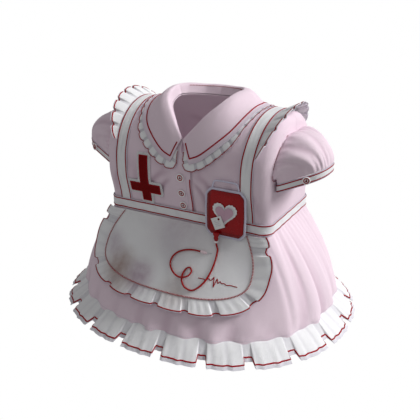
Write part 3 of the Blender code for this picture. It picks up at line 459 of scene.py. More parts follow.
# Round or flattened threads: an oval profile carried along many paths at once, as one mesh
def threads(name, paths, ups, wide, high, finish, closed=False, sides=8, nodes=(), swell=None):
    paths, ups = np.asarray(paths, float), np.asarray(ups, float)
    if paths.ndim == 2:
        paths, ups = paths[None], ups[None]
    k, n = paths.shape[:2]
    if closed:
        around = np.concatenate([paths[:, -1:], paths, paths[:, :1]], 1)
        ahead = unit(np.gradient(around, axis=1)[:, 1:-1])
    else:
        ahead = unit(np.gradient(paths, axis=1))
    aside = unit(np.cross(ahead, ups))
    up = np.cross(aside, ahead)
    turn = np.linspace(0, 2 * pi, sides, endpoint=False)
    size = np.ones(n) if swell is None else swell
    x = (np.cos(turn)[None, :] * size[:, None] * wide / 2)[None, ..., None]
    y = (np.sin(turn)[None, :] * size[:, None] * high / 2)[None, ..., None]
    points = paths[:, :, None] + aside[:, :, None] * x + up[:, :, None] * y
    spans = n if closed else n - 1
    q, i, j = np.meshgrid(np.arange(k), np.arange(spans), np.arange(sides), indexing="ij")
    corner = [(i, j), (i, j + 1), (i + 1, j + 1), (i + 1, j)]
    faces = np.stack([q * n * sides + (a % n) * sides + b % sides for a, b in corner], -1).reshape(-1, 4).tolist()
    marks = np.arange(n + 1) * np.linalg.norm(np.diff(paths, axis=1), axis=-1).mean()
    uv = [np.stack([marks[a], b / sides * wide * 2], -1) for a, b in corner]
    uv = np.stack(uv, -2).reshape(-1, 2)
    if not closed:
        ends = np.arange(k)[:, None] * n * sides + np.arange(sides)[None, :]
        faces += ends[:, ::-1].tolist() + (ends + (n - 1) * sides).tolist()
        uv = np.concatenate([uv, np.zeros((2 * k * sides, 2))])
    mesh = bpy.data.meshes.new(name)
    mesh.from_pydata((points.reshape(-1, 3) * mm).tolist(), [], faces)
    mesh.uv_layers.new(name="cut").data.foreach_set("uv", (uv * mm).astype(np.float32).ravel())
    mesh.flip_normals()
    return addPiece(name, mesh, finish, nodes)


def dashes(name, line, ups, pitch, dash, wide, high, finish):  # stitches at equal steps along a line
    marks = lengths(line)
    starts = np.arange(pitch / 2, marks[-1] - dash, pitch)
    places = starts[:, None] + np.linspace(0, dash, 4)
    return threads(name, walk(line, marks, places), walk(ups, marks, places), wide, high, finish, sides=6)


# Soft creases: troughs along short curves in a piece's own two measures. Each has its points, its
# depth and its half width, and fades at both ends.
def creaseDepth(a, b, creases):
    total = np.zeros(np.broadcast(a, b).shape)
    for points, depth, width in creases:
        line = through(points, np.linspace(0, 1, 13))
        nearest, place = np.full(total.shape, 1e9), np.zeros(total.shape)
        for number, (low, high) in enumerate(zip(line, line[1:])):
            span = high - low
            share = (((a - low[0]) * span[0] + (b - low[1]) * span[1]) / (span @ span)).clip(0, 1)
            gap = np.hypot(a - low[0] - span[0] * share, b - low[1] - span[1] * share)
            closer = gap < nearest
            nearest, place = np.where(closer, gap, nearest), np.where(closer, (number + share) / 12, place)
        fade = np.sin(pi * (0.04 + 0.92 * place)) ** 0.7
        total += depth * fade * np.exp(-((nearest / width) ** 2))
    return total


def pleatPlaces(centres, length, half, flank, parts, closed=False):
    flanks = np.linspace(0, flank, 5)
    near = np.concatenate([flanks - half - flank, np.linspace(-half, half, 6)[1:-1], flanks + half])
    reach = half + flank
    ends = [*centres, centres[0] + length] if closed else [-reach, *centres, length + reach]
    places = []
    for number, (low, high) in enumerate(zip(ends, ends[1:])):
        if closed or number:
            places.append(low + near)
        inner = np.linspace(low + reach, high - reach, parts + 1)
        places.append(inner[1:-1] if closed else inner[(number > 0):(None if number == len(ends) - 2 else -1)])
    places = np.concatenate(places)
    every = np.array(centres)
    if closed:
        every = np.concatenate([every - length, every, every + length])
    gap = np.abs(places[:, None] - every[None]).min(1)
    wave = -1 + 2 * ease((gap - half) / flank)
    edges = np.sort(every) if closed else np.array(ends)
    lobe = np.searchsorted(edges, places) - 1
    lobe = lobe.clip(0, len(edges) - 2)
    share = (places - edges[lobe]) / (edges[lobe + 1] - edges[lobe])
    return places, wave, share.clip(0, 1), lobe
print("tools ready")

bodiceCut = dict(
    end=-7, gap=0.4, seamAt=75, neckColumns=26, seamColumns=16, armColumns=40, rows=60, wall=1.6,
    lapOver=26, lapUnder=16, lapFull=110, lapRun=44, lapSink=4,
)
neckEdge = {-1: [(2, 172), (36, 215), (68, 262), (80, top)], 1: [(0, 263), (40, 272), (68, 295), (80, top)]}
armhole = [(top, 46), (268, 33), (215, 26), (172, 23), (142, 22.5), (119, 23), (105, 34), (102, 75), (102, 130)]
bodiceCreases = {
    -1: [
        ([(30, 78), (48, 62), (60, 40), (62, 20)], -3.2, 6), ([(34, 96), (62, 84), (84, 58), (90, 30)], -2.8, 7),
        ([(120, 20), (128, 60), (124, 100)], -1.6, 9), ([(196, 16), (190, 50), (176, 80)], -1.8, 8),
        ([(24, 130), (44, 112), (54, 96)], -1.6, 6), ([(150, 120), (164, 90), (168, 60)], -1.5, 8),
    ],
    1: [
        ([(20, 20), (34, 70), (30, 130)], -1.8, 9), ([(90, 10), (96, 60), (84, 110)], -1.6, 9),
        ([(180, 20), (170, 60), (150, 100)], -1.8, 8), ([(60, 150), (90, 170), (120, 175)], -1.4, 9),
    ],
}


def armholeCurve(side, share, off=0.0):
    h, inset = np.moveaxis(through(armhole, share), -1, 0)
    reach, depth = armhole[-1][1], torsoDepth(armhole[-1][0], side)
    inset = inset + (depth - reach) * ease((inset - 48) / (reach - 48))
    low = ease((150 - h) / 40)
    return atInset(inset + off * (1 - low), h), np.minimum(h, top - bodiceCut["gap"]) + off * low


# Columns run from the waist up to the neck edge, the shoulder seam and the armhole in turn
def bodiceHalf(side, lap):
    c = bodiceCut
    neckTop = through(neckEdge[side], np.linspace(0, 1, c["neckColumns"] + 1)[:-1])
    seamShare = np.linspace(0, 1, c["seamColumns"] + 1)[:-1]
    neckS = neckEdge[side][-1][0]
    seamS = neckS + (atInset(armhole[0][1], top) - neckS) * seamShare
    armS, armH = armholeCurve(side, np.linspace(0, 1, c["armColumns"]))
    topS = np.concatenate([neckTop[:, 0], seamS, armS])[:, None]
    topH = np.concatenate([neckTop[:, 1], np.full(len(seamS), top - c["gap"]), armH])[:, None]
    flat = figure["halfWidth"] - figure["corner"]
    sideSeam = atInset(figure["waistDepth"][side], 0) - c["gap"] / 2
    corner = flat - 4 + 7.7 * np.arange(6)
    keys = np.concatenate([corner, np.linspace(corner[-1] + 6, sideSeam, 3)])[:, None]
    armLow = through(keys, np.linspace(0, 1, c["armColumns"]))[:, 0]
    share = np.linspace(0, 1, c["rows"])[None, :]
    h = c["end"] * (1 - share) + topH * share
    late = ((h - c["lapFull"]) / (topH - c["lapFull"])).clip(0, 1)
    drawn = ease((h - c["lapFull"]) / c["lapRun"])
    edge = -lap * (1 - drawn) + neckEdge[side][0][0] * drawn
    across = np.concatenate([np.arange(c["neckColumns"]) / c["neckColumns"], np.ones(len(seamS) + len(armS))])[:, None]
    end = c["seamAt"] + (neckS - c["seamAt"]) * late
    base = edge + (end - edge) * across
    atTop = edge[:, -1:] + (neckS - edge[:, -1:]) * across
    near = base + (topS - atTop) * late**2
    lowS = np.concatenate([np.zeros(c["neckColumns"]), c["seamAt"] + (flat - 4 - c["seamAt"]) * seamShare, armLow])
    plain = lowS[:, None] + (topS - lowS[:, None]) * share
    joined = c["seamAt"] + (topS - c["seamAt"]) * late + (lowS[:, None] - c["seamAt"]) * (1 - share)
    blend = ease(np.concatenate([np.zeros(c["neckColumns"]), seamShare, np.ones(len(armS))]))[:, None]
    far = joined * (1 - blend) + plain * blend
    s = np.where(np.arange(len(topS))[:, None] < c["neckColumns"], near, far)
    s[-1] = atInset(torsoDepth(h[-1], side), h[-1]) - c["gap"] / 2
    return s, h


def makeBodice():
    shapes = {}
    for name, mirror, lap in (("bodice_front_left", 1, bodiceCut["lapUnder"]), ("bodice_front_right", -1, bodiceCut["lapOver"])):
        s, h = bodiceHalf(-1, lap)
        deep = creaseDepth(s, h, bodiceCreases[-1])
        out = deep * (1 - ease((h - 190) / 40))
        if mirror > 0:
            out = out - bodiceCut["lapSink"] * (1 - ease((s - 27.5) / 10.5))
        surface = Surface(torso(mirror * s, h, -1, out), (0, 0, -200))
        # painted shade along the crease troughs
        clothPiece(name, surface, pinkCloth, bodiceCut["wall"], creaseAndShade=-deep * 0.3)
        shapes[name] = surface
    s, h = bodiceHalf(1, 0)
    s[0] = 0
    s, h = np.concatenate([-s[:0:-1], s]), np.concatenate([h[:0:-1], h])
    deep = creaseDepth(np.abs(s) + 6 * np.sign(s), h, bodiceCreases[1])
    back = Surface(torso(s, h, 1, deep), (0, 0, -200))
    # painted shade along the crease troughs
    clothPiece("bodice_back", back, pinkCloth, bodiceCut["wall"], creaseAndShade=-deep * 0.3)
    # the placket's red edge, a seam line beside it and the stitched armholes
    front = shapes["bodice_front_right"]
    for number, (off, piece) in enumerate(((1.2, redThread), (11.0, greyThread))):
        i = np.interp(off, [0, 60], [0, 16])
        line, up = front.at(np.full(90, i), np.linspace(1, 30, 90), 0.4)
        if number:
            dashes("placket_stitches", line, up, 3.0, 1.9, 0.7, 0.4, piece)
        else:
            threads("placket_line", line, up, 3.2, 1.1, piece)
    for name, surface in shapes.items():
        start = bodiceCut["neckColumns"] + bodiceCut["seamColumns"]
        i = np.linspace(start, surface.rows - 1, 160)
        line, up = surface.at(i, surface.columns - 1 - 1.6, 0.3)
        dashes(f"armhole_stitches_{name[-5:].strip('_')}", line, up, 3.6, 2.3, 1.3, 0.7, redThread)


collarCut = dict(lift=5.2, stand=19, neckLift=2, gap=0.4, wall=1.6, shares=60, across=36, margin=13, frontMargin=6)
collarEdge = {
    -1: [(25, 121), (57, 135), (97, 170), (124, 205), (141, 255), (150, top)],
    1: [(0, 178), (55, 182), (106, 210), (138, 255), (150, top)],
}


def makeCollar():
    c = collarCut
    across = np.linspace(0, 1, c["across"]) ** 0.9
    fall, inner = ease((across - 0.3) / 0.7), ease((0.22 - across) / 0.22)
    where = np.clip((across - 0.16) / 0.84, 0, 1)[:, None]
    columns = []
    for side, shares in ((-1, np.linspace(0, 1, c["shares"])), (1, np.linspace(1, 0, c["shares"])[1:])):
        for share in shares:
            neck, outer = through(neckEdge[side], share), through(collarEdge[side], share)
            s, h = (neck + (outer - neck) * where).T
            if side < 0:
                stand = c["stand"] * ease(share / 0.75) + 2.2
            else:
                stand = c["stand"] + 2.2 + 4.8 * (1 - share)
            lift = c["lift"] + stand * (1 - fall) ** 1.5 * (1 - inner) - (c["lift"] - c["neckLift"]) * inner
            columns.append(torso(s, h, side, lift))
    right = np.array(columns)
    right[0, :, 0] += c["gap"]
    grid = np.concatenate([right, right[-2::-1] * (-1, 1, 1)])
    # soft ripples where the collar turns over at the shoulder
    count = len(grid)
    around = np.linspace(-1, 1, count)[:, None]
    ripple = 0.3 * np.sin(around * 19 + across * 5) * np.sin(pi * across) * ease((0.9 - np.abs(around)) / 0.3)
    surface = Surface(grid, (0, 0, -60))
    surface = Surface(grid + surface.normal * ripple[..., None], (0, 0, -60))
    rim = surface.rimShade(c["margin"] * 0.55, far=True) * 0.5
    # painted shade along the ripples where the collar turns over
    clothPiece("collar", surface, pinkCloth, c["wall"], rim=rim, creaseAndShade=np.abs(ripple) * 0.15)
    outer = surface.inset(c["margin"])
    half = count // 2
    steps = np.linalg.norm(np.diff(surface.grid, axis=0), axis=-1)
    cum = np.concatenate([np.zeros((1, surface.columns)), np.cumsum(steps, 0)])
    fronts = np.array([np.interp(c["frontMargin"], cum[:half, k], np.arange(half)) for k in range(surface.columns)])
    place = np.interp(outer[:half], np.arange(surface.columns), fronts)
    start = int(np.argmax(np.arange(half) >= place))
    run = np.linspace(surface.columns * 0.3, outer[start], 30)
    i = np.concatenate([np.interp(run, np.arange(surface.columns), fronts), np.arange(start + 1, half + 1)])
    j = np.concatenate([run, outer[start + 1:half + 1]])
    i, j = np.concatenate([i, count - 1 - i[-2::-1]]), np.concatenate([j, j[-2::-1]])
    line, up = surface.at(i, j, 0.4)
    threads("collar_line", line, up, 3.3, 1.3, redThread)
    line, up = surface.at(i, np.minimum(j + 0.8, surface.columns - 1.5), 0.2)
    dashes("collar_stitches", line, up, 3.0, 1.8, 0.6, 0.4, greyThread)
    line, up = surface.at(np.linspace(half - 40, half + 40, 120), 4.0, 0.3)
    dashes("neck_stitches", line, up, 4.0, 2.6, 1.6, 0.7, redThread)


frillCut = dict(start=(13, 150), under=6, width=17, narrow=7, pitch=25, out=1.7, flare=3.2, half=2.4, flank=2.0, wall=1.2)


def makeCollarFrill():
    c = frillCut
    front = through(collarEdge[-1], np.linspace(0, 1, 60))
    back = through(collarEdge[1], np.linspace(1, 0, 40)[1:]) * (1, -1) + (0, 2 * top)
    frontEdge = np.linspace(c["start"], front[0], 9)[:-1]
    edge = np.concatenate([frontEdge, front, back])
    along = np.gradient(edge, axis=0)
    away = unit(np.stack([along[:, 1], -along[:, 0]], -1))
    marks = lengths(overTorso(*edge.T))
    lobes = round(marks[-1] / c["pitch"])
    centres = marks[-1] * (np.arange(lobes) + 1) / (lobes + 0.5)
    places, wave, share, _ = pleatPlaces(centres, marks[-1] + c["half"] + c["flank"], c["half"], c["flank"], 9)
    keep = (places >= 0) & (places <= marks[-1])
    places, wave, share = places[keep], wave[keep], share[keep]
    spot, away = walk(edge, marks, places), walk(away, marks, places)
    nearStrap = ease((spot[:, 1] - 170) / 60) * ease((2 * top - 190 - spot[:, 1]) / 60)
    nearFront = ease(1 - places / marks[len(frontEdge)])
    width = c["width"] + (c["narrow"] - c["width"]) * np.maximum(nearStrap, nearFront)
    width = width * (0.86 + 0.2 * np.sqrt(1 - (2 * share - 1) ** 2 * 0.96))
    v = np.linspace(0, 1, 9)
    root = c["out"]
    rows = []
    for reach in v:
        flare = root + reach * (0.3 + c["flare"] * width / c["width"] * (1 + wave) / 2 + 0.8 * np.sin(pi * share))
        rows.append(overTorso(*(spot + away * (width * reach - c["under"] * (1 - reach))[:, None]).T, flare))
    right = np.stack(rows, 1)
    right[-1, :, 0] = 0
    surface = Surface(np.concatenate([right, right[-2::-1] * (-1, 1, 1)]), (0, 0, -200))
    # painted shade between the pleats
    paintedFoldShade = np.concatenate([(1 - wave), (1 - wave)[-2::-1]])[:, None] * 0.3
    clothPiece("collar_frill", surface, whiteCloth, c["wall"], creaseAndShade=paintedFoldShade + 0 * v[None], rim=surface.rimShade(3) * 0.5)
    line, up = surface.edgeLine(1.0)
    dashes("collar_frill_dots", line, up, 3.2, 2.1, 2.6, 1.5, redThread)


cuffCut = dict(
    inner=(220.5, -158.5), outer=(321, -117), front=72, back=68, narrowing=13, centreY=-25, height=20, wall=2.0, out=0.6,
    button=9, buttonTurn=math.radians(82), buttonOff=0.85, line=3.4,
)
sleeveCut = dict(columns=200, rows=46, middle=(269, -15, -110), seam=2, wall=1.6, gap=0.4, gathers=11)


def cuffRing(turn, lift, out=0.0):
    c = cuffCut
    inner, outer = np.array(c["inner"]), np.array(c["outer"])
    middle, reach = (inner + outer) / 2, (outer - inner) / 2
    square = np.where(np.cos(turn) < 0, 9, np.where(np.sin(turn) > 0, 3.4, 2))
    across = np.sign(np.cos(turn)) * np.abs(np.cos(turn)) ** (2 / square)
    fore = np.sign(np.sin(turn)) * np.abs(np.sin(turn)) ** (2 / square)
    grown = across * (1 + out / np.hypot(*reach))
    deep = np.where(np.sin(turn) > 0, c["front"], c["back"]) - c["narrowing"] * across + out
    x = middle[0] + reach[0] * grown
    return np.stack([x, c["centreY"] - deep * fore, middle[1] + reach[1] * grown + lift + 0 * turn], -1)


def sleeveGrid():
    c = sleeveCut
    turn = np.linspace(0, 2 * pi, c["columns"], endpoint=False)
    share = 1 - np.abs(1 - turn / pi)
    edge = {side: torso(*armholeCurve(side, share, c["seam"]), side) for side in (-1, 1)}
    start = np.where((turn <= pi)[:, None], edge[-1], edge[1])[:, None]
    end = cuffRing(turn, cuffCut["height"] + 2.5 * c["gap"])[:, None]
    outer, ahead = (1 + np.cos(turn)) / 2, -np.sin(turn)
    full = outer * (1 - 0.45 * ahead.clip(0))
    leave = np.stack([20 + 90 * full, 20 * ahead.clip(-1, 0), 2 + 54 * full], -1)[:, None]
    arrive = np.stack([4 + full, -26 * ahead.clip(-1, 0), -24 - 120 * full], -1)[:, None]
    v = np.linspace(0, 1, c["rows"])[None, :, None]
    grid = (2 * v**3 - 3 * v**2 + 1) * start + (v**3 - 2 * v**2 + v) * leave
    grid = grid + (3 * v**2 - 2 * v**3) * end + (v**3 - v**2) * arrive
    away = unit(grid - np.array(c["middle"]))
    v = v[..., 0]
    free = ease((np.cos(turn) + 0.5) / 0.8)[:, None]
    t = turn[:, None]
    soft = 2.4 * np.cos(t * c["gathers"]) * np.sin(pi * v) ** 0.8
    gather = 1.3 * np.cos(t * 31 + 1.5 * np.sin(3 * t)) * np.exp(-(v / 0.22) ** 2) * np.sin(pi * v.clip(0, 0.5)) ** 0.3
    gather = gather + 1.6 * np.cos(t * 26 + 2 * np.sin(2 * t)) * np.exp(-(((1 - v) / 0.26) ** 2)) * np.sin(pi * v.clip(0.5, 1)) ** 0.3
    fold = free * (soft + gather + 1.2 * np.sin(t * 5 + v * 3) * np.sin(pi * v))
    # the sleeve's grid, and the painted shade in its fold troughs
    return grid + away * fold[..., None], (-fold).clip(0) * 0.16


def turnedDisc(name, spot, direction, profile, finish, nodes=(), sides=40):
    axis = unit(np.array(direction, float))
    side = unit(np.cross(axis, (0, 0.1, 1)))
    up = np.cross(side, axis)
    a = np.linspace(0, 2 * pi, sides, endpoint=False)
    ring = np.cos(a)[:, None] * side + np.sin(a)[:, None] * up
    radius, height = np.array(profile, float).T
    points = spot + ring[:, None] * radius[None, :, None] + axis * height[None, :, None]
    m = len(radius)
    i, j = np.meshgrid(np.arange(sides), np.arange(m - 1), indexing="ij")
    faces = [(i % sides) * m + j, ((i + 1) % sides) * m + j, ((i + 1) % sides) * m + j + 1, i * m + j + 1]
    faces = np.stack(faces, -1).reshape(-1, 4).tolist()
    faces += [(np.arange(sides) * m)[::-1].tolist(), (np.arange(sides) * m + m - 1).tolist()]
    mesh = bpy.data.meshes.new(name)
    mesh.from_pydata((points.reshape(-1, 3) * mm).tolist(), [], faces)
    mesh.uv_layers.new(name="cut")
    piece = addPiece(name, mesh, finish, nodes)
    mesh.update()
    centre = Vector(spot) * mm
    volume = sum((face.center - centre).dot(face.normal) * face.area for face in mesh.polygons)
    if volume < 0:
        mesh.flip_normals()
    return piece, axis, side, up


buttonCut = dict(radius=10, thick=3.2, off=0.85, heights=(-146, -185, -218))


def makeButton(name, spot, direction, r):
    t = buttonCut["thick"]
    profile = [
        (0.4, t * 0.55), (r * 0.3, t * 0.56), (r * 0.62, t * 0.62), (r * 0.72, t * 0.72), (r * 0.79, t * 0.95),
        (r * 0.86, t), (r * 0.93, t * 0.95), (r * 0.985, t * 0.75), (r, t * 0.5), (r * 0.98, t * 0.2), (r * 0.94, 0), (0.4, 0),
    ]
    _, axis, side, up = turnedDisc(name, spot, direction, profile[::-1], shellPlastic, [name])
    a = np.linspace(0, 2 * pi, 48, endpoint=False)
    ring = spot + (np.cos(a)[:, None] * side + np.sin(a)[:, None] * up) * r * 0.6 + axis * t * 0.72
    threads(f"{name}_ring", ring, np.broadcast_to(axis, ring.shape), 2.4, 1.5, redThread, closed=True)
    bars = []
    for a, b in (((0, -0.3), (0, 0.36)), ((-0.24, -0.1), (0.24, -0.1))):
        ends = [spot + side * x * r + up * z * r + axis * t * 0.68 for x, z in (a, b)]
        bars.append(np.linspace(ends[0], ends[1], 5))
    bars = np.array(bars)
    threads(f"{name}_cross", bars, np.broadcast_to(axis, bars.shape), 2.3, 0.9, darkThread)


def makeSleeves():
    grid, paintedFoldShade = sleeveGrid()
    turn = np.linspace(0, 2 * pi, 144, endpoint=False)
    rise = np.linspace(0, cuffCut["height"], 7)
    for name, mirror in (("left", 1), ("right", -1)):
        flip = np.array([mirror, 1, 1])
        inside = np.array(sleeveCut["middle"]) * flip
        surface = Surface(grid * flip, inside, ring=True)
        clothPiece(f"sleeve_{name}", surface, pinkCloth, sleeveCut["wall"], creaseAndShade=paintedFoldShade)
        swell = 0.5 * np.sin(pi * rise / cuffCut["height"])
        ring = np.stack([cuffRing(turn, lift, cuffCut["out"] + out) for lift, out in zip(rise, swell)], 1) * flip
        cuff = Surface(ring, inside, ring=True)
        shade = cuff.rimShade(3.4, True, True)
        clothPiece(f"cuff_{name}", cuff, whiteCloth, cuffCut["wall"], rim=shade)
        pair = [cuff.edgeLine(cuffCut["line"], far) for far in (False, True)]
        threads(f"cuff_lines_{name}", [p for p, _ in pair], [u for _, u in pair], 2.6, 1.0, redThread, closed=True)
        near = cuffRing(cuffCut["buttonTurn"] + np.array([-0.03, 0, 0.03]), cuffCut["height"] / 2, cuffCut["out"])
        along = near[0] - near[2]
        out = unit(np.array([along[1], -along[0], 0]))
        makeButton(f"cuff_button_{name}", (near[1] + out * cuffCut["buttonOff"]) * flip, out * flip, cuffCut["button"])


def makeFrontButtons():
    for number, z in enumerate(buttonCut["heights"], 1):
        spot, ahead = torso(0, z - figure["waistZ"], -1, [buttonCut["off"], buttonCut["off"] + 1])
        makeButton(f"front_button_{number}", spot, ahead - spot, buttonCut["radius"])


bandCut = dict(trim=1.4, line=3.2, rows=8)


def makeWaistband():
    halves = []
    for side in (-1, 1):
        s = np.linspace(0, atInset(figure["waistDepth"][side], 0), 120)
        halves.append(torso(np.concatenate([-s[:0:-1], s]), 0, side, skirtCut["bandOut"] + bandCut["trim"]))
    ring = np.concatenate([halves[0], halves[1][-2:0:-1]]) * (1, 1, 0)
    z = np.linspace(skirtCut["bandBottom"], skirtCut["bandTop"], bandCut["rows"])
    around = np.linspace(0, 2 * pi, len(ring), endpoint=False)[:, None]
    wave = 0.35 * np.sin(around * 23 + z[None] * 0.2) + 0.25 * np.sin(around * 41)
    grid = np.concatenate([ring[:, None, :2] * np.ones((1, len(z), 1)), np.broadcast_to(z[None, :, None], (len(ring), len(z), 1))], -1)
    surface = Surface(grid, (0, 0, -240), ring=True)
    surface = Surface(grid + surface.normal * wave[..., None], (0, 0, -240), ring=True)
    shade = surface.rimShade(3, True, True) * 0.8
    # painted shade in the troughs of the small waves
    clothPiece("waistband", surface, whiteCloth, bandCut["trim"], creaseAndShade=(-wave).clip(0) * 0.3, rim=shade)
    pair = [surface.edgeLine(bandCut["line"], far) for far in (False, True)]
    threads("waistband_lines", [p for p, _ in pair], [u for _, u in pair], 3.0, 1.1, redThread, closed=True)


strapTable = [(-7, 168), (150, 167), (230, 171), (top, 177)]
strapCut = dict(width=33, out=0.9, trim=1.4, first=-6, line=3.4, columns=12)
shoulderFrillCut = dict(start=156, width=42, endWidth=4, pleats=10, lean=math.radians(17), half=3, flank=2.5, line=4)


def strapCentre(climb):
    heights, centres = np.array(strapTable).T
    return np.interp(np.minimum(climb, 2 * top - climb), heights, centres)


def makeStraps():
    c = strapCut
    climb = np.linspace(c["first"], 2 * top - c["first"], 200)[:, None]
    v = np.linspace(-1, 1, c["columns"])[None, :]
    across = strapCentre(climb) + v * c["width"] / 2
    pucker = 0.35 * np.sin(v * 9 + 1.3 * np.sin(climb / 31)) + 0.4 * np.sin(climb / 13 + v * 2) * (1 - v**2)
    lift = c["out"] + c["trim"] + pucker * 0.8
    for name, mirror in (("left", 1), ("right", -1)):
        surface = Surface(overTorso(mirror * across, climb, lift), (0, 0, -200))
        shade = surface.rimShade(3.2, True, True) * 0.9
        # painted shade in the pucker troughs
        clothPiece(f"strap_{name}", surface, whiteCloth, c["trim"], creaseAndShade=(-pucker).clip(0) * 0.35, rim=shade)
        pair = [surface.edgeLine(c["line"], far) for far in (False, True)]
        threads(f"strap_lines_{name}", [p for p, _ in pair], [u for _, u in pair], 3.0, 1.1, redThread)


def makeShoulderFrills():
    c = shoulderFrillCut
    span = 2 * (top - c["start"])
    centres = span * (np.arange(c["pleats"] - 1) + 1) / c["pleats"]
    places, wave, share, _ = pleatPlaces(centres, span, c["half"], c["flank"], 12)
    keep = (places >= 0) & (places <= span)
    places, wave, share = places[keep], wave[keep], share[keep]
    climb = c["start"] + places
    rootS = strapCentre(climb) + strapCut["width"] / 2 + 0.4
    rootOut = strapCut["out"] + strapCut["trim"] + 0.6
    width = c["endWidth"] + (c["width"] - c["endWidth"]) * np.sin(pi * places / span).clip(0) ** 0.75
    width = width * (0.93 + 0.09 * np.sqrt(1 - (2 * share - 1) ** 2 * 0.96))
    v = np.linspace(0, 1, 14)
    for name, mirror in (("left", 1), ("right", -1)):
        root = overTorso(mirror * rootS, climb, rootOut)
        lift = overTorso(mirror * rootS, climb, rootOut + 1) - root
        away = np.array([mirror * math.cos(c["lean"]), 0, 0]) + lift * math.sin(c["lean"])
        rise = 2.8 + 2.8 * wave + 1.5 * np.sin(pi * share)
        rows = [root + away * (width * r)[:, None] + lift * (r * rise + 2.5 * r * (1 - r))[:, None] for r in v]
        surface = Surface(np.stack(rows, 1), (mirror * 200, 0, -60))
        # painted shade between the pleats, deeper towards the free edge
        paintedFoldShade = (1 - wave)[:, None] * 0.3 * (0.4 + 0.6 * v[None])
        clothPiece(f"shoulder_frill_{name}", surface, whiteCloth, 1.4, creaseAndShade=paintedFoldShade, rim=surface.rimShade(4) * 0.4)
        line, up = surface.edgeLine(c["line"])
        threads(f"shoulder_frill_line_{name}", line, up, 2.9, 1.1, redThread)


skirtCreases = [  # share round and share down, depth, half width
    ([(0.07, 0.0), (0.085, 0.5), (0.1, 1.0)], -1.0, 13), ([(0.155, 0.0), (0.165, 0.5), (0.172, 1.0)], -3.2, 9),
    ([(0.19, 0.02), (0.196, 0.4), (0.2, 0.9)], -2.6, 10), ([(0.225, 0.0), (0.226, 0.5), (0.231, 1.0)], -3.4, 9),
    ([(0.262, 0.05), (0.26, 0.5), (0.258, 0.85)], -2.2, 10), ([(0.3, 0.0), (0.295, 0.5), (0.29, 1.0)], -3.0, 10),
    ([(0.36, 0.0), (0.352, 0.5), (0.35, 1.0)], -3.0, 10), ([(0.42, 0.05), (0.41, 0.5), (0.405, 0.9)], -2.4, 13),
    ([(0.48, 0.0), (0.475, 0.5), (0.47, 1.0)], -3.0, 10), ([(0.545, 0.0), (0.55, 0.5), (0.556, 1.0)], -2.8, 10),
    ([(0.6, 0.04), (0.607, 0.5), (0.613, 0.95)], -2.4, 13), ([(0.665, 0.0), (0.67, 0.5), (0.676, 1.0)], -3.0, 10),
    ([(0.73, 0.0), (0.733, 0.5), (0.735, 1.0)], -3.0, 10), ([(0.785, 0.03), (0.783, 0.5), (0.78, 0.9)], -2.6, 10),
    ([(0.845, 0.0), (0.84, 0.5), (0.835, 1.0)], -2.6, 9), ([(0.93, 0.4), (0.925, 0.7), (0.92, 1.0)], -1.0, 13),
]


def makeSkirt():
    c = skirtCut
    u = np.arange(c["columns"])[:, None] / c["columns"]
    z = np.linspace(c["bandBottom"], c["hem"], c["rows"])[None, :]
    t = skirtShare(z)
    free = 1 - 0.8 * skirtCovered(u, t)
    size = np.array([c["hemLength"], c["bandBottom"] - c["hem"]])
    creases = [(np.array(points) * size, depth, width) for points, depth, width in skirtCreases]
    creaseAndShade = creaseDepth(u * size[0] + 0 * t, t * size[1] + 0 * u, creases) * free
    gathers = 0.9 * np.cos(2 * pi * 71 * u + 2 * np.sin(2 * pi * 4 * u)) * np.exp(-t / 0.25) * free * ease(t / 0.03)
    folds = skirtFolds(u, z) + creaseAndShade + gathers
    edge = 1.6 * ease((t - 0.9) / 0.1) * np.cos(2 * pi * 37 * u + 1.2 * np.sin(2 * pi * 5 * u)) * free
    grid = skirtPoint(u, z) + skirtNormal(u, np.maximum(z, c["hem"] + 3)) * (folds + edge)[..., None]
    topRing = np.stack([skirtPoint(u[:, 0], zz) for zz in np.linspace(c["skirtTop"], c["bandBottom"] + 2, 4)], 1)
    surface = Surface(np.concatenate([topRing, grid], 1), (0, 0, -300), ring=True)
    # painted shade in the fold troughs below the band
    paintedFoldShade = np.concatenate([np.zeros((len(u), 4)), (-folds - 0.6).clip(0) * 0.15], 1)
    clothPiece("skirt", surface, pinkCloth, c["wall"], creaseAndShade=paintedFoldShade)
    line, up = surface.edgeLine(6.0)
    dashes("skirt_hem_stitches", line, up, 4.4, 2.6, 0.7, 0.5, greyThread)
    return folds[:, -1]


ruffleCut = dict(
    z=-507, halfWide=380, front=330, back=312, square=2.18, pleats=21, first=0.4, out=5, inner=11, lift=7, half=9.5, flank=2.5,
    under=4, rows=18, line=10, wall=1.4,
)


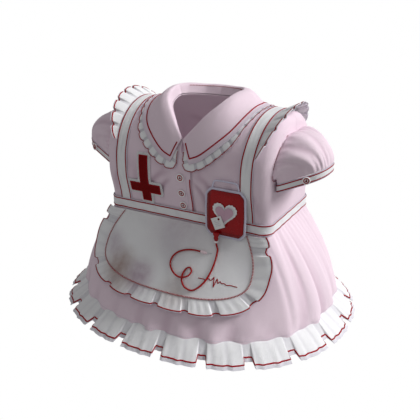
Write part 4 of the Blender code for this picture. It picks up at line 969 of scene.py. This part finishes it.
def makeHemRuffle():
    c = ruffleCut
    outline = oval(c["halfWide"], c["front"], c["back"], c["square"])
    outline = np.concatenate([outline, outline[:1]])
    marks = lengths(outline)
    pitch = marks[-1] / c["pleats"]
    centres = pitch * (np.arange(c["pleats"]) + c["first"])
    places, wave, share, lobe = pleatPlaces(centres, marks[-1], c["half"], c["flank"], 26, closed=True)
    edge = walk(outline, marks, places % marks[-1])
    u = places / marks[-1] % 1
    outward = unit(edge)
    isLobe = (wave > 0)
    bow = 3.2 * np.sqrt((1 - (2 * share - 1) ** 2).clip(0)) * isLobe
    streak = 1.1 * np.sin(share * 21 + lobe * 1.7) * isLobe + 0.6 * np.sin(share * 37 + lobe)
    v = np.linspace(0, 1, c["rows"])
    hemZ = skirtCut["hem"]
    hem = skirtPoint(u, hemZ) - skirtNormal(u, hemZ + 3) * c["under"]
    rootWave = skirtFolds(u, hemZ)
    rows = []
    for r in v:
        base = hem[:, :2] + skirtNormal(u, hemZ + 3)[:, :2] * (rootWave * (1 - r) ** 2)[:, None]
        reach = -c["inner"] + (c["out"] + c["inner"]) * (1 + wave) / 2
        target = edge + outward * (reach + bow)[:, None]
        curve = r ** 0.92
        flat = base + (target - base) * curve + outward * (streak * np.sin(pi * min(r, 0.5)) * r)[:, None]
        low = c["z"] + c["lift"] * (1 - wave) / 2 - 1.4 * np.sqrt((1 - (2 * share - 1) ** 2).clip(0)) * isLobe
        start = hemZ + 5
        rows.append(np.concatenate([flat, (start + (low - start) * r)[:, None]], 1))
    surface = Surface(np.stack(rows, 1), (0, 0, -300), ring=True)
    # painted shade between the pleats and along the streak troughs, deeper near the skirt
    paintedFoldShade = ((1 - wave)[:, None] * 0.22 + (-streak)[:, None].clip(0) * 0.2) * (0.5 + 0.5 * (1 - v[None]))
    clothPiece("hem_ruffle", surface, whiteCloth, c["wall"], creaseAndShade=paintedFoldShade, rim=surface.rimShade(8) * 0.55)
    line, up = surface.edgeLine(c["line"])
    threads("hem_ruffle_line", line, up, 3.4, 1.2, redThread, closed=True)


apronCut = dict(
    top=-260.5, out=3.2, seam=1, trim=1.4, columns=90, rows=60,
    panel=dict(top=168, side=201, turnZ=-342, bottomZ=-396, square=3.2),
    flounce=dict(top=211, side=238, turnZ=-335, bottomZ=-427, square=3.6),
    pleats=(0.063, 0.247, 0.356, 0.429, 0.5, 0.571, 0.644, 0.753, 0.937), half=7.5, flank=2.5, line=3.2,
)


def apronOutline(size, share):
    share = np.asarray(share, float)
    arc = (np.clip((share - 0.17) / 0.66, 0, 1) * 2 - 1) * pi / 2
    x = size["side"] * np.sin(arc)
    drop = (1 - np.abs(np.sin(arc)) ** size["square"]).clip(0) ** (1 / size["square"])
    z = size["turnZ"] + (size["bottomZ"] - size["turnZ"]) * drop
    climb = np.clip(np.maximum(0.17 - share, share - 0.83) / 0.17, 0, 1)
    narrow = (size["side"] - size["top"]) * (1 - np.cos(climb * pi / 2))
    return np.stack([x - np.sign(x) * narrow, z + (apronCut["top"] - size["turnZ"]) * climb], -1)


def makeApron():
    c = apronCut
    u = np.linspace(-1, 1, c["columns"])[:, None]
    v = np.linspace(0, 1, c["rows"])[None, :]
    low = apronOutline(c["panel"], 0.5 + 0.33 * u)
    x = c["panel"]["top"] * u + (low[..., 0] - c["panel"]["top"] * u) * np.sin(v * pi / 2)
    z = c["top"] + (low[..., 1] - c["top"]) * v
    soft = 0.5 * np.sin(x / 17 + 1.5 * np.sin(z / 40)) * np.exp(-v * 2.2) + 0.45 * np.sin(x / 29 + z / 23)
    soft = soft * np.minimum(1, 6 * np.minimum(v, 1 - v)) * np.minimum(1, 8 * (1 - np.abs(u)))
    panel = Surface(skirtAt(x, z, c["out"] + c["trim"] + soft.clip(-0.6, 0.2)), (0, 0, -300))
    # painted shade in the soft fold troughs
    clothPiece("apron_panel", panel, apronCloth, c["trim"], creaseAndShade=(-soft).clip(0) * 0.45)

    shares = np.linspace(0, 1, 401)
    marks = lengths(apronOutline(c["flounce"], shares))
    places, wave, part, lobe = pleatPlaces(np.interp(c["pleats"], shares, marks), marks[-1], c["half"], c["flank"], 30)
    keep = (places >= 0) & (places <= marks[-1])
    places, wave, part, lobe = places[keep], wave[keep], part[keep], lobe[keep]
    share = np.interp(places, marks, shares)
    inner, outer = apronOutline(c["panel"], share), apronOutline(c["flounce"], share)
    inner = inner + unit(outer - inner) * c["seam"]
    round_ = np.sqrt((1 - (2 * part - 1) ** 2 * 0.98).clip(0))
    grow = 0.88 + 0.15 * round_ - 0.07 * (1 - wave) / 2
    rows, v = [], np.linspace(0, 1, 16)
    streak = 0.5 * np.sin(part * 25 + lobe * 2.1)
    for r in v:
        px, pz = (inner + (outer - inner) * (r * grow)[:, None]).T
        lift = c["out"] + c["trim"] + r * (3.6 + 3 * wave + 1.6 * round_) + streak * np.sin(pi * r) * 0.8
        rows.append(skirtAt(px, pz, lift))
    ruffle = Surface(np.stack(rows, 1), (0, 0, -300))
    # painted shade between the pleats and along the streak troughs, deeper near the seam
    paintedFoldShade = ((1 - wave)[:, None] * 0.25 + (-streak)[:, None].clip(0) * 0.5) * (1 - 0.5 * v[None])
    clothPiece("apron_ruffle", ruffle, apronCloth, c["trim"], creaseAndShade=paintedFoldShade, rim=ruffle.rimShade(3.5) * 0.8)
    line, up = ruffle.edgeLine(c["line"])
    threads("apron_ruffle_line", line, up, 2.9, 1.1, redThread)
    seam = apronOutline(c["panel"], np.linspace(0.004, 0.996, 260))
    line = skirtAt(seam[:, 0], seam[:, 1], c["out"] + c["trim"] + 0.9)
    line = evenly(line, 2.0)
    up = unit(line * (0.4, 1, 0) + (0, 0, 190))
    threads("apron_piping", line, up, 2.6, 2.2, laceThread)
    dashes("apron_piping_twist", line, up, 3.3, 2.0, 3.3, 2.9, redThread)
    beat = [
        (84, -357), (98, -357), (103, -360), (108, -354), (112, -357), (116, -357), (120, -350), (124, -369), (128, -352),
        (132, -361), (136, -356), (140, -360), (146, -359), (152, -362), (160, -361), (176, -363),
    ]
    beat = evenly(np.array([(x, 0, z) for x, z in beat], float), 1.5)
    line = skirtAt(beat[:, 0], beat[:, 2], c["out"] + c["trim"] + 0.5)
    threads("apron_beat_line", line, np.broadcast_to((0.3, -0.85, 0.4), line.shape), 2.2, 1.0, redThread)


crossCut = dict(x=-102, top=-105, bottom=-223, bar=25, armZ=-188, arm=43, armHeight=24, border=3.6, off=1.4, wall=1.0)


def crossOutline(grow):
    c = crossCut
    bar, arm = c["bar"] / 2 + grow, c["arm"] + grow
    low, high = c["armZ"] - c["armHeight"] / 2 - grow, c["armZ"] + c["armHeight"] / 2 + grow
    bottom, upper = c["bottom"] - grow, c["top"] + grow
    right = [(bar, upper), (bar, high), (arm, high), (arm, low), (bar, low), (bar, bottom)]
    points = right + [(-x, z) for x, z in right[::-1]]
    return np.array([(c["x"] + x, z) for x, z in points + points[:1]], float)


def makeCross():
    c = crossCut
    for name, grow, off, finish, slot in (
        ("cross_ground", c["border"] - 1.6, 0, whiteCloth, "white_cloth"), ("cross_patch", 0, c["wall"] + 0.4, darkThread, "dark_red"),
    ):
        bar, arm = c["bar"] / 2 + grow, c["arm"] + grow
        low, high = c["armZ"] - c["armHeight"] / 2 - grow, c["armZ"] + c["armHeight"] / 2 + grow
        xs = c["x"] + np.concatenate([np.linspace(-arm, -bar, 12)[:-1], np.linspace(-bar, bar, 10), np.linspace(bar, arm, 12)[1:]])
        zs = np.concatenate([
            np.linspace(c["bottom"] - grow, low, 10)[:-1], np.linspace(low, high, 9), np.linspace(high, c["top"] + grow, 24)[1:],
        ])
        grid = torso(xs[:, None], zs[None] - figure["waistZ"], -1, c["off"] + c["wall"] + off)
        i, j = np.meshgrid(np.arange(len(xs) - 1), np.arange(len(zs) - 1), indexing="ij")
        midX, midZ = np.abs((xs[:-1] + xs[1:]) / 2 - c["x"])[i], ((zs[:-1] + zs[1:]) / 2)[j]
        inside = (midX < bar) | ((midZ > low) & (midZ < high))
        faces = np.stack([i * len(zs) + j, (i + 1) * len(zs) + j, (i + 1) * len(zs) + j + 1, i * len(zs) + j + 1], -1)[inside]
        used, faces = np.unique(faces, return_inverse=True)
        faces = faces.reshape(-1, 4)
        mesh = bpy.data.meshes.new(name)
        mesh.from_pydata((grid.reshape(-1, 3)[used] * mm).tolist(), [], faces.tolist())
        flat = np.stack(np.broadcast_arrays(zs[None, :], xs[:, None]), -1).reshape(-1, 2)[used]
        mesh.uv_layers.new(name="cut").data.foreach_set("uv", (flat[faces.ravel()] * mm).astype(np.float32).ravel())
        mesh.update()
        if mesh.polygons[0].normal.y > 0:
            mesh.flip_normals()
        piece = addPiece(name, mesh, finish, [name])
        wall = piece.modifiers.new("Wall", "SOLIDIFY")
        wall.thickness, wall.offset = c["wall"] * mm, -1
    edge = evenly(crossOutline(c["border"] - 1.6), 1.0)
    marks = lengths(edge)
    bumps = np.abs(np.sin(marks / marks[-1] * pi * round(marks[-1] / 6.4)))
    along = unit(np.gradient(edge, axis=0))
    out = np.stack([-along[:, 1], along[:, 0]], -1)
    away = edge + out * (bumps * 2.8 + 0.4)[:, None]
    line = torso(away[:, 0], away[:, 1] - figure["waistZ"], -1, c["off"] + c["wall"] * 0.6)
    threads("cross_lace", line[:-1], np.broadcast_to((0, -1.0, 0.05), line[:-1].shape), 3.4, 1.3, laceThread, closed=True)
    hem = evenly(crossOutline(-1.2), 1.2)
    line = torso(hem[:, 0], hem[:, 1] - figure["waistZ"], -1, c["off"] + 2 * c["wall"] + 0.6)
    threads("cross_satin_edge", line[:-1], np.broadcast_to((0, -1.0, 0.05), line[:-1].shape), 2.4, 1.0, redThread, closed=True)


bagCut = dict(x=120, z=-212, y=-145.4, halfWide=51, halfHigh=58.5, chamfer=13, border=5, thick=2.6)
pouchFront = -153.6
portLines = dict(x=103.2, flat=0.62, radius=7.8)


def chamfered(grow, cut):
    w, h = bagCut["halfWide"] + grow, bagCut["halfHigh"] + grow
    right = [(w - cut, h), (w, h - cut), (w + 1.5, 0), (w, cut - h), (w - cut, -h)]
    points = np.array(right + [(-x, z) for x, z in right[::-1]], float)
    closed = np.concatenate([points, points[:1]])
    marks = lengths(closed)
    even = walk(closed, marks, np.linspace(0, marks[-1], 160, endpoint=False))
    return (np.roll(even, 1, 0) + 2 * even + np.roll(even, -1, 0)) / 4


def heart(halfWide, halfHigh, count=120):
    a = np.linspace(0, 2 * pi, count, endpoint=False)
    z = 13 * np.cos(a) - 5 * np.cos(2 * a) - 2 * np.cos(3 * a) - np.cos(4 * a)
    return np.stack([2.3 + np.sin(a) ** 3 * halfWide, 0.5 + (z + 2.5) / 14.5 * halfHigh], -1)


# A closed padded form: rings of one outline, each at its share of the size and its distance from
# the bag's back, with a small face at both ends
def puffed(name, outline, layers, finish, centre=(0, 0), dent=None, nodes=None):
    outline = outline - np.array(centre)
    rows = []
    for share, off in layers:
        flat = outline * share + np.array(centre)
        out = off + (dent(flat) if dent is not None and share < 0.97 else 0)
        rows.append(np.stack([bagCut["x"] + flat[:, 0], bagCut["y"] - out + 0 * flat[:, 0], bagCut["z"] + flat[:, 1]], -1))
    points = np.array(rows)
    k, n = points.shape[:2]
    i, j = np.meshgrid(np.arange(k - 1), np.arange(n), indexing="ij")
    faces = np.stack([i * n + j, i * n + (j + 1) % n, (i + 1) * n + (j + 1) % n, (i + 1) * n + j], -1).reshape(-1, 4)
    caps = [np.arange(n)[::-1].tolist(), (np.arange(n) + (k - 1) * n).tolist()]
    mesh = bpy.data.meshes.new(name)
    mesh.from_pydata((points.reshape(-1, 3) * mm).tolist(), [], faces.tolist() + caps)
    flat = np.concatenate([points.reshape(-1, 3)[faces.ravel()][:, [0, 2]], points.reshape(-1, 3)[caps[0] + caps[1]][:, [0, 2]]])
    mesh.uv_layers.new(name="cut").data.foreach_set("uv", (flat * mm).astype(np.float32).ravel())
    mesh.update()
    if mesh.polygons[-1].normal.y > 0:
        mesh.flip_normals()
    return addPiece(name, mesh, finish, [name] if nodes is None else nodes)


def makeBag():
    c = bagCut
    wrinkle = lambda p: 0.35 * np.sin(p[:, 0] / 5 + p[:, 1] / 9) + 0.3 * np.sin(p[:, 1] / 6 - p[:, 0] / 13)
    body = chamfered(-c["border"] - 0.5, c["chamfer"] - 2.2)
    share = np.linspace(0, 1, 20)
    pillow = [(0.9, 0.1), (1, 0.9), (1, 2.2)] + [(1 - 0.2 * s**1.2, 3 + 4.9 * np.sin(s * pi / 2)) for s in share[1:]]
    pillow += [(0.8 - 0.78 * s, 7.7) for s in share[2:]]
    pouch = puffed("bag_pouch", body, pillow, bagVinyl, dent=lambda p: 0.35 * wrinkle(p) - 0.2)
    # Painted shade on the pouch: its left and lower facets much darker and its right and upper facets a little darker,
    # through the painted attribute
    points = np.empty(len(pouch.data.vertices) * 3, np.float32)
    pouch.data.vertices.foreach_get("co", points)
    x, _, z = (points.reshape(-1, 3) / mm - (c["x"], 0, c["z"])).T
    left, right = ease((-x - 33) / 4), ease((x - 36) / 6)
    low, high = ease((-z - 40) / 5), ease((z - 44) / 6)
    paint(pouch.data, "creaseAndShade", np.maximum(np.maximum(left, low) * 0.95, np.maximum(right, high) * 0.3))
    inner = chamfered(-c["border"], c["chamfer"] - 2)
    outer = chamfered(0, c["chamfer"])
    middle = (inner + outer) / 2
    def placed(outline, off):
        return np.stack([c["x"] + outline[:, 0], np.full(len(outline), c["y"] - off), c["z"] + outline[:, 1]], -1)
    ups = np.broadcast_to((0, -1.0, 0), (160, 3))
    threads("bag_border", placed(middle, c["thick"] / 2), ups, 5.4, 2.6, filmVinyl, True, 12, ["bag_border"])
    weld = placed(middle + (middle - inner) * 0.1, c["thick"])
    dashes("bag_weld_dots", np.concatenate([weld, weld[:1]]), np.broadcast_to((0, -1.0, 0), (161, 3)), 2.6, 1.2, 1.0, 0.6, greyThread)
    loop = through([(-33, 59.5), (-31, 68), (-25, 75.5), (0, 76.5), (25, 75.5), (31, 68), (33, 59.5)], np.linspace(0, 1, 60))
    threads("bag_loop", placed(loop, c["thick"] / 2), np.broadcast_to((0, -1.0, 0), (60, 3)), 4.0, 3.6, filmVinyl, False, 12, ["bag_loop"])

    portY = pouchFront - 0.4 - portLines["radius"] * portLines["flat"]
    down = lambda rows: np.array([(portLines["x"], portY, z) for _, z in rows], float)
    port = [(7.3, -256), (7.7, -257), (7.8, -262), (7.4, -263.4), (5.6, -265.4), (5.3, -267), (6, -270), (6.1, -272.4), (5, -274), (4.2, -276.5)]
    cap = [(5.2, -277), (6, -277.6), (6, -279.4), (5.2, -280.6), (4.6, -281.4)]
    for name, rows, flat, finish, slot in (("bag_port", port, portLines["flat"], bagVinyl, "bag_red"), ("port_cap", cap, 0.8, shellPlastic, "white_cloth")):
        ups = np.broadcast_to((0, -1.0, 0), (len(rows), 3))
        swell = np.array([r for r, _ in rows])
        threads(name, down(rows), ups, 2.0, 2.0 * flat, finish, False, 24, [name], swell)

    ground = heart(30.4, 26.5, 240)
    a = np.linspace(0, 2 * pi, 240, endpoint=False)
    scalloped = (ground - (2.3, 0.5)) * (0.965 + 0.05 * np.abs(np.sin(a * 14)))[:, None] + (2.3, 0.5)
    back = -pouchFront + c["y"] + 0.4
    lace = [(0.98, back), (1, back + 0.3), (1, back + 1.0), (0.97, back + 1.3), (0.9, back + 1.0), (0.84, back + 1.25), (0.78, back + 1.0), (0.5, back + 1.1)]
    puffed("heart_ground", scalloped, lace, whiteCloth, centre=(2.3, 0.5))
    padBack = back + 1.6
    quilt = lambda p: -0.28 * (np.abs(np.sin((p[:, 0] + p[:, 1]) / 6.5)) < 0.12) - 0.28 * (np.abs(np.sin((p[:, 0] - p[:, 1]) / 6.5)) < 0.12)
    dome = [(0.9, padBack), (0.98, padBack + 0.3), (1, padBack + 0.9)] + [(1 - s, padBack + 0.9 + 1.5 * np.sin(s * pi / 2) ** 0.6) for s in np.linspace(0.03, 0.97, 24)]
    pad = puffed("heart_pad", heart(22.5, 19.5, 180), dome, padCloth, centre=(2.3, 0.5), dent=quilt)
    line = placed(heart(23.2, 20.2, 120), padBack + 0.5)
    threads("heart_cord", line, np.broadcast_to((0, -1.0, 0), line.shape), 1.5, 1.3, laceThread, closed=True)

    tagY = pouchFront - 0.4 - 1.2 - 0.4 - 2.4 - 0.4
    lean = math.radians(25)
    turn = np.array([[math.cos(lean), math.sin(lean)], [-math.sin(lean), math.cos(lean)]])
    corner = np.array([(x * 13.7, z * 14.2) for x, z in ((-1, 1), (1, 1), (1, -1), (-1, -1), (-1, 1))], float)
    edge = evenly(corner, 1.2)[:-1] @ turn + (107.5 - c["x"], -232 - c["z"])
    off = c["y"] - tagY
    centre = (107.5 - c["x"], -232 - c["z"])
    puffed("tag", edge, [(0.99, off), (1, off + 0.15), (1, off + 0.65), (0.99, off + 0.8), (0.5, off + 0.8)], cardPaper, centre=centre)
    marks = [((-8, 6), (-2, 6)), ((-8, 2), (7, 2)), ((-8, -2), (4, -2)), ((-8, -6), (6, -6))]
    lines = np.array([np.linspace(np.array(p) @ turn + centre, np.array(q) @ turn + centre, 6) for p, q in marks])
    lines = np.stack([c["x"] + lines[..., 0], np.full(lines.shape[:2], tagY - 0.9), c["z"] + lines[..., 1]], -1)
    threads("tag_marks", lines, np.broadcast_to((0, -1.0, 0), lines.shape), 0.9, 0.3, greyThread)
    dot = np.array([c["x"], 0, c["z"]]) + np.array([(np.array((6, 8)) @ turn + centre)[0], tagY - 0.8, (np.array((6, 8)) @ turn + centre)[1]])
    turnedDisc("tag_dot", dot, (0, -1, 0), [(2.6, 0), (2.6, 0.3), (0.2, 0.4)], darkThread)


tubeRoute = [
    (108, -291, 0), (111, -305, 0), (112, -321, 0), (110, -340, 0), (103, -360, 0), (91, -375, 0),
    (77, -382, 0), (60, -379, 0), (49, -370, 0), (45, -358, 0), (49, -346, 0), (58, -342, 1),
    (65, -348, 2), (62, -357, 4), (53, -362, 5.6), (43, -363.5, 5.6), (30, -361, 3), (16, -354, 0.5),
    (6, -343, 0), (6, -330, 0), (16, -319, 0), (33, -312, 0), (52, -309, 0), (71, -309, 0),
]
tubeCut = dict(radius=2.1, points=150, hub=3.6, onApron=5.0)


def makeTube():
    c = tubeCut
    route = through(tubeRoute, np.linspace(0, 1, c["points"]))
    laid = skirtAt(route[:, 0], route[:, 1], c["onApron"] + c["radius"] + 0.4 + route[:, 2])
    end = np.array([portLines["x"] + 0.3, pouchFront - 0.4 - portLines["radius"] * portLines["flat"], -282.2])
    drop = through([end, end + (0.6, -0.4, -4), laid[4], laid[9]], np.linspace(0, 1, 24))[:-1]
    line = evenly(np.concatenate([drop, laid[9:]]), 1.8)
    ups = np.broadcast_to((0.1, -0.8, 0.6), line.shape)
    threads("tube", line, ups, 2 * c["radius"], 2 * c["radius"], tubeVinyl, False, 14, ["tube"])
    x = np.linspace(72.5, 88.5, 24)
    z = np.interp(x, [72.5, 88.5], [-309, -310])
    axis = skirtAt(x, z, c["onApron"] + c["hub"])
    share = np.linspace(0, 1, 24)
    swell = np.interp(share, [0, 0.05, 0.3, 0.34, 0.7, 0.76, 0.95, 1], [0.75, 0.9, 0.9, 1, 1, 0.7, 0.6, 0.3])
    swell = swell - 0.06 * (np.sin(share * 60) > 0.3) * (share > 0.36) * (share < 0.68)
    threads("connector", axis, np.broadcast_to((0.1, -0.8, 0.6), axis.shape), 7.2, 7.2, hubPlastic, False, 20, ["connector"], swell)
    needle = skirtAt(np.linspace(88, 100, 8), np.linspace(-310, -309, 8), c["onApron"] + c["hub"])
    threads("needle", needle, np.broadcast_to((0.1, -0.8, 0.6), needle.shape), 1.2, 1.2, steelMetal)


makeBodice()
print("bodice made")
makeCollar()
makeCollarFrill()
print("collar made")
makeSleeves()
makeFrontButtons()
print("sleeves and buttons made")
makeWaistband()
makeStraps()
makeShoulderFrills()
print("waistband and straps made")
makeSkirt()
makeHemRuffle()
print("skirt made")
makeApron()
print("apron made")
makeCross()
makeBag()
makeTube()
print("ornaments made")

# Walls become plain meshes, with crisp edges
graph = bpy.context.evaluated_depsgraph_get()
for piece in made:
    if piece.modifiers:
        solid = bpy.data.meshes.new_from_object(piece.evaluated_get(graph), preserve_all_data_layers=True, depsgraph=graph)
        piece.modifiers.clear()
        piece.data = solid
    piece.data.set_sharp_from_angle(angle=math.radians(40))

# Camera at the photo's place, a white stage and one soft light from high on the right behind
view = dict(azimuth=28.8, elevation=21.5, distance=1.482, target=(0, 0, -0.2756), lens=48.857, sensor=36)
azimuth, elevation = math.radians(view["azimuth"]), math.radians(view["elevation"])
outward = Vector((math.sin(azimuth) * math.cos(elevation), -math.cos(azimuth) * math.cos(elevation), math.sin(elevation)))
camera = bpy.data.objects.new("camera", bpy.data.cameras.new("camera"))
bpy.context.scene.collection.objects.link(camera)
camera.data.lens, camera.data.sensor_width = view["lens"], view["sensor"]
camera.data.clip_end = 50
camera.location = Vector(view["target"]) + outward * view["distance"]
camera.rotation_euler = outward.to_track_quat("Z", "Y").to_euler()
bpy.context.scene.camera = camera

light = dict(strength=3.3, angle=math.radians(24), towards=(0.70, 0.36, 0.60), ambient=0.345)
sun = bpy.data.objects.new("key", bpy.data.lights.new("key", "SUN"))
bpy.context.scene.collection.objects.link(sun)
sun.data.energy, sun.data.angle = light["strength"], light["angle"]
sun.rotation_euler = Vector(light["towards"]).to_track_quat("Z", "Y").to_euler()
world = bpy.data.worlds.new("studio")
world.use_nodes = True
world.node_tree.nodes["Background"].inputs["Color"].default_value = (1, 1, 1, 1)
world.node_tree.nodes["Background"].inputs["Strength"].default_value = light["ambient"]
bpy.context.scene.world = world
bpy.context.scene.view_settings.view_transform = "Standard"

paper = bpy.data.materials.new("whiteStage")
paper.use_nodes = True
paper.node_tree.nodes.clear()
glow = paper.node_tree.nodes.new("ShaderNodeEmission")
glow.inputs["Strength"].default_value = 1.0
paper.node_tree.links.new(glow.outputs[0], paper.node_tree.nodes.new("ShaderNodeOutputMaterial").inputs["Surface"])
bpy.ops.mesh.primitive_uv_sphere_add(segments=48, ring_count=24, radius=12)
backdrop = bpy.context.object
backdrop.name = "backdrop"
bpy.ops.mesh.primitive_circle_add(vertices=96, radius=11, fill_type="NGON", location=(0, 0, -1.3))
floor = bpy.context.object
floor.name = "floor"
for stage in (backdrop, floor):
    stage.data.materials.append(paper)
    stage.visible_diffuse = stage.visible_glossy = stage.visible_transmission = stage.visible_shadow = False
print("stage made")

# Every sheet: the size it was cut to, width by length in metres, along the cloth with its gathers
# let out; its flat area where that isn't a rectangle; how it is held, what it lies on, and what is
# sewn on it. The wearer, who isn't here, holds the bodice up.
bodice = ["bodice_back", "bodice_front_left", "bodice_front_right"]
cuts = [
    ("bodice_back", (0.67, 0.33), 0.169, "hung", [], []),
    ("bodice_front_left", (0.353, 0.336), 0.0854, "hung", [], ["armhole_stitches_left"]),
    ("bodice_front_right", (0.362, 0.336), 0.0867, "hung", [],
     ["armhole_stitches_right", "placket_line", "placket_stitches"]),
    ("collar", (0.987, 0.136), 0.08, "folded", bodice, ["collar_line", "collar_stitches", "neck_stitches"]),
    ("collar_frill", (1.3, 0.027), 0.0248, "gathered", ["collar"], ["collar_frill_dots"]),
    ("waistband", (1.363, 0.027), None, "laid", bodice, ["waistband_lines"]),
    ("skirt", (2.06, 0.291), 0.559, "gathered", ["waistband"], ["skirt_hem_stitches"]),
    ("hem_ruffle", (3.04, 0.0586), None, "gathered", ["skirt"], ["hem_ruffle_line"]),
    ("apron_panel", (0.42, 0.175), 0.0629, "laid", ["skirt"],
     ["apron_piping", "apron_piping_twist", "apron_beat_line"]),
    ("apron_ruffle", (0.916, 0.052), 0.038, "gathered", ["apron_panel", "skirt"], ["apron_ruffle_line"]),
    ("cross_ground", (0.09, 0.122), 0.00525, "laid", ["bodice_front_right"], ["cross_lace"]),
    ("cross_patch", (0.086, 0.118), 0.00441, "laid", ["cross_ground"], ["cross_satin_edge"]),
    ("heart_ground", (0.061, 0.053), 0.00205, "laid", ["bag_pouch"], ["heart_cord"]),
]
for side in ("left", "right"):
    under = [f"bodice_front_{side}", "bodice_back"]
    cuts += [
        (f"sleeve_{side}", (0.552, 0.138), 0.0434, "gathered", under, []),
        (f"cuff_{side}", (0.459, 0.02), None, "laid", [f"sleeve_{side}"], [f"cuff_lines_{side}"]),
        (f"strap_{side}", (0.033, 0.654), None, "laid", under, [f"strap_lines_{side}"]),
        (f"shoulder_frill_{side}", (0.454, 0.0455), 0.0151, "gathered", [f"strap_{side}"],
         [f"shoulder_frill_line_{side}"]),
    ]
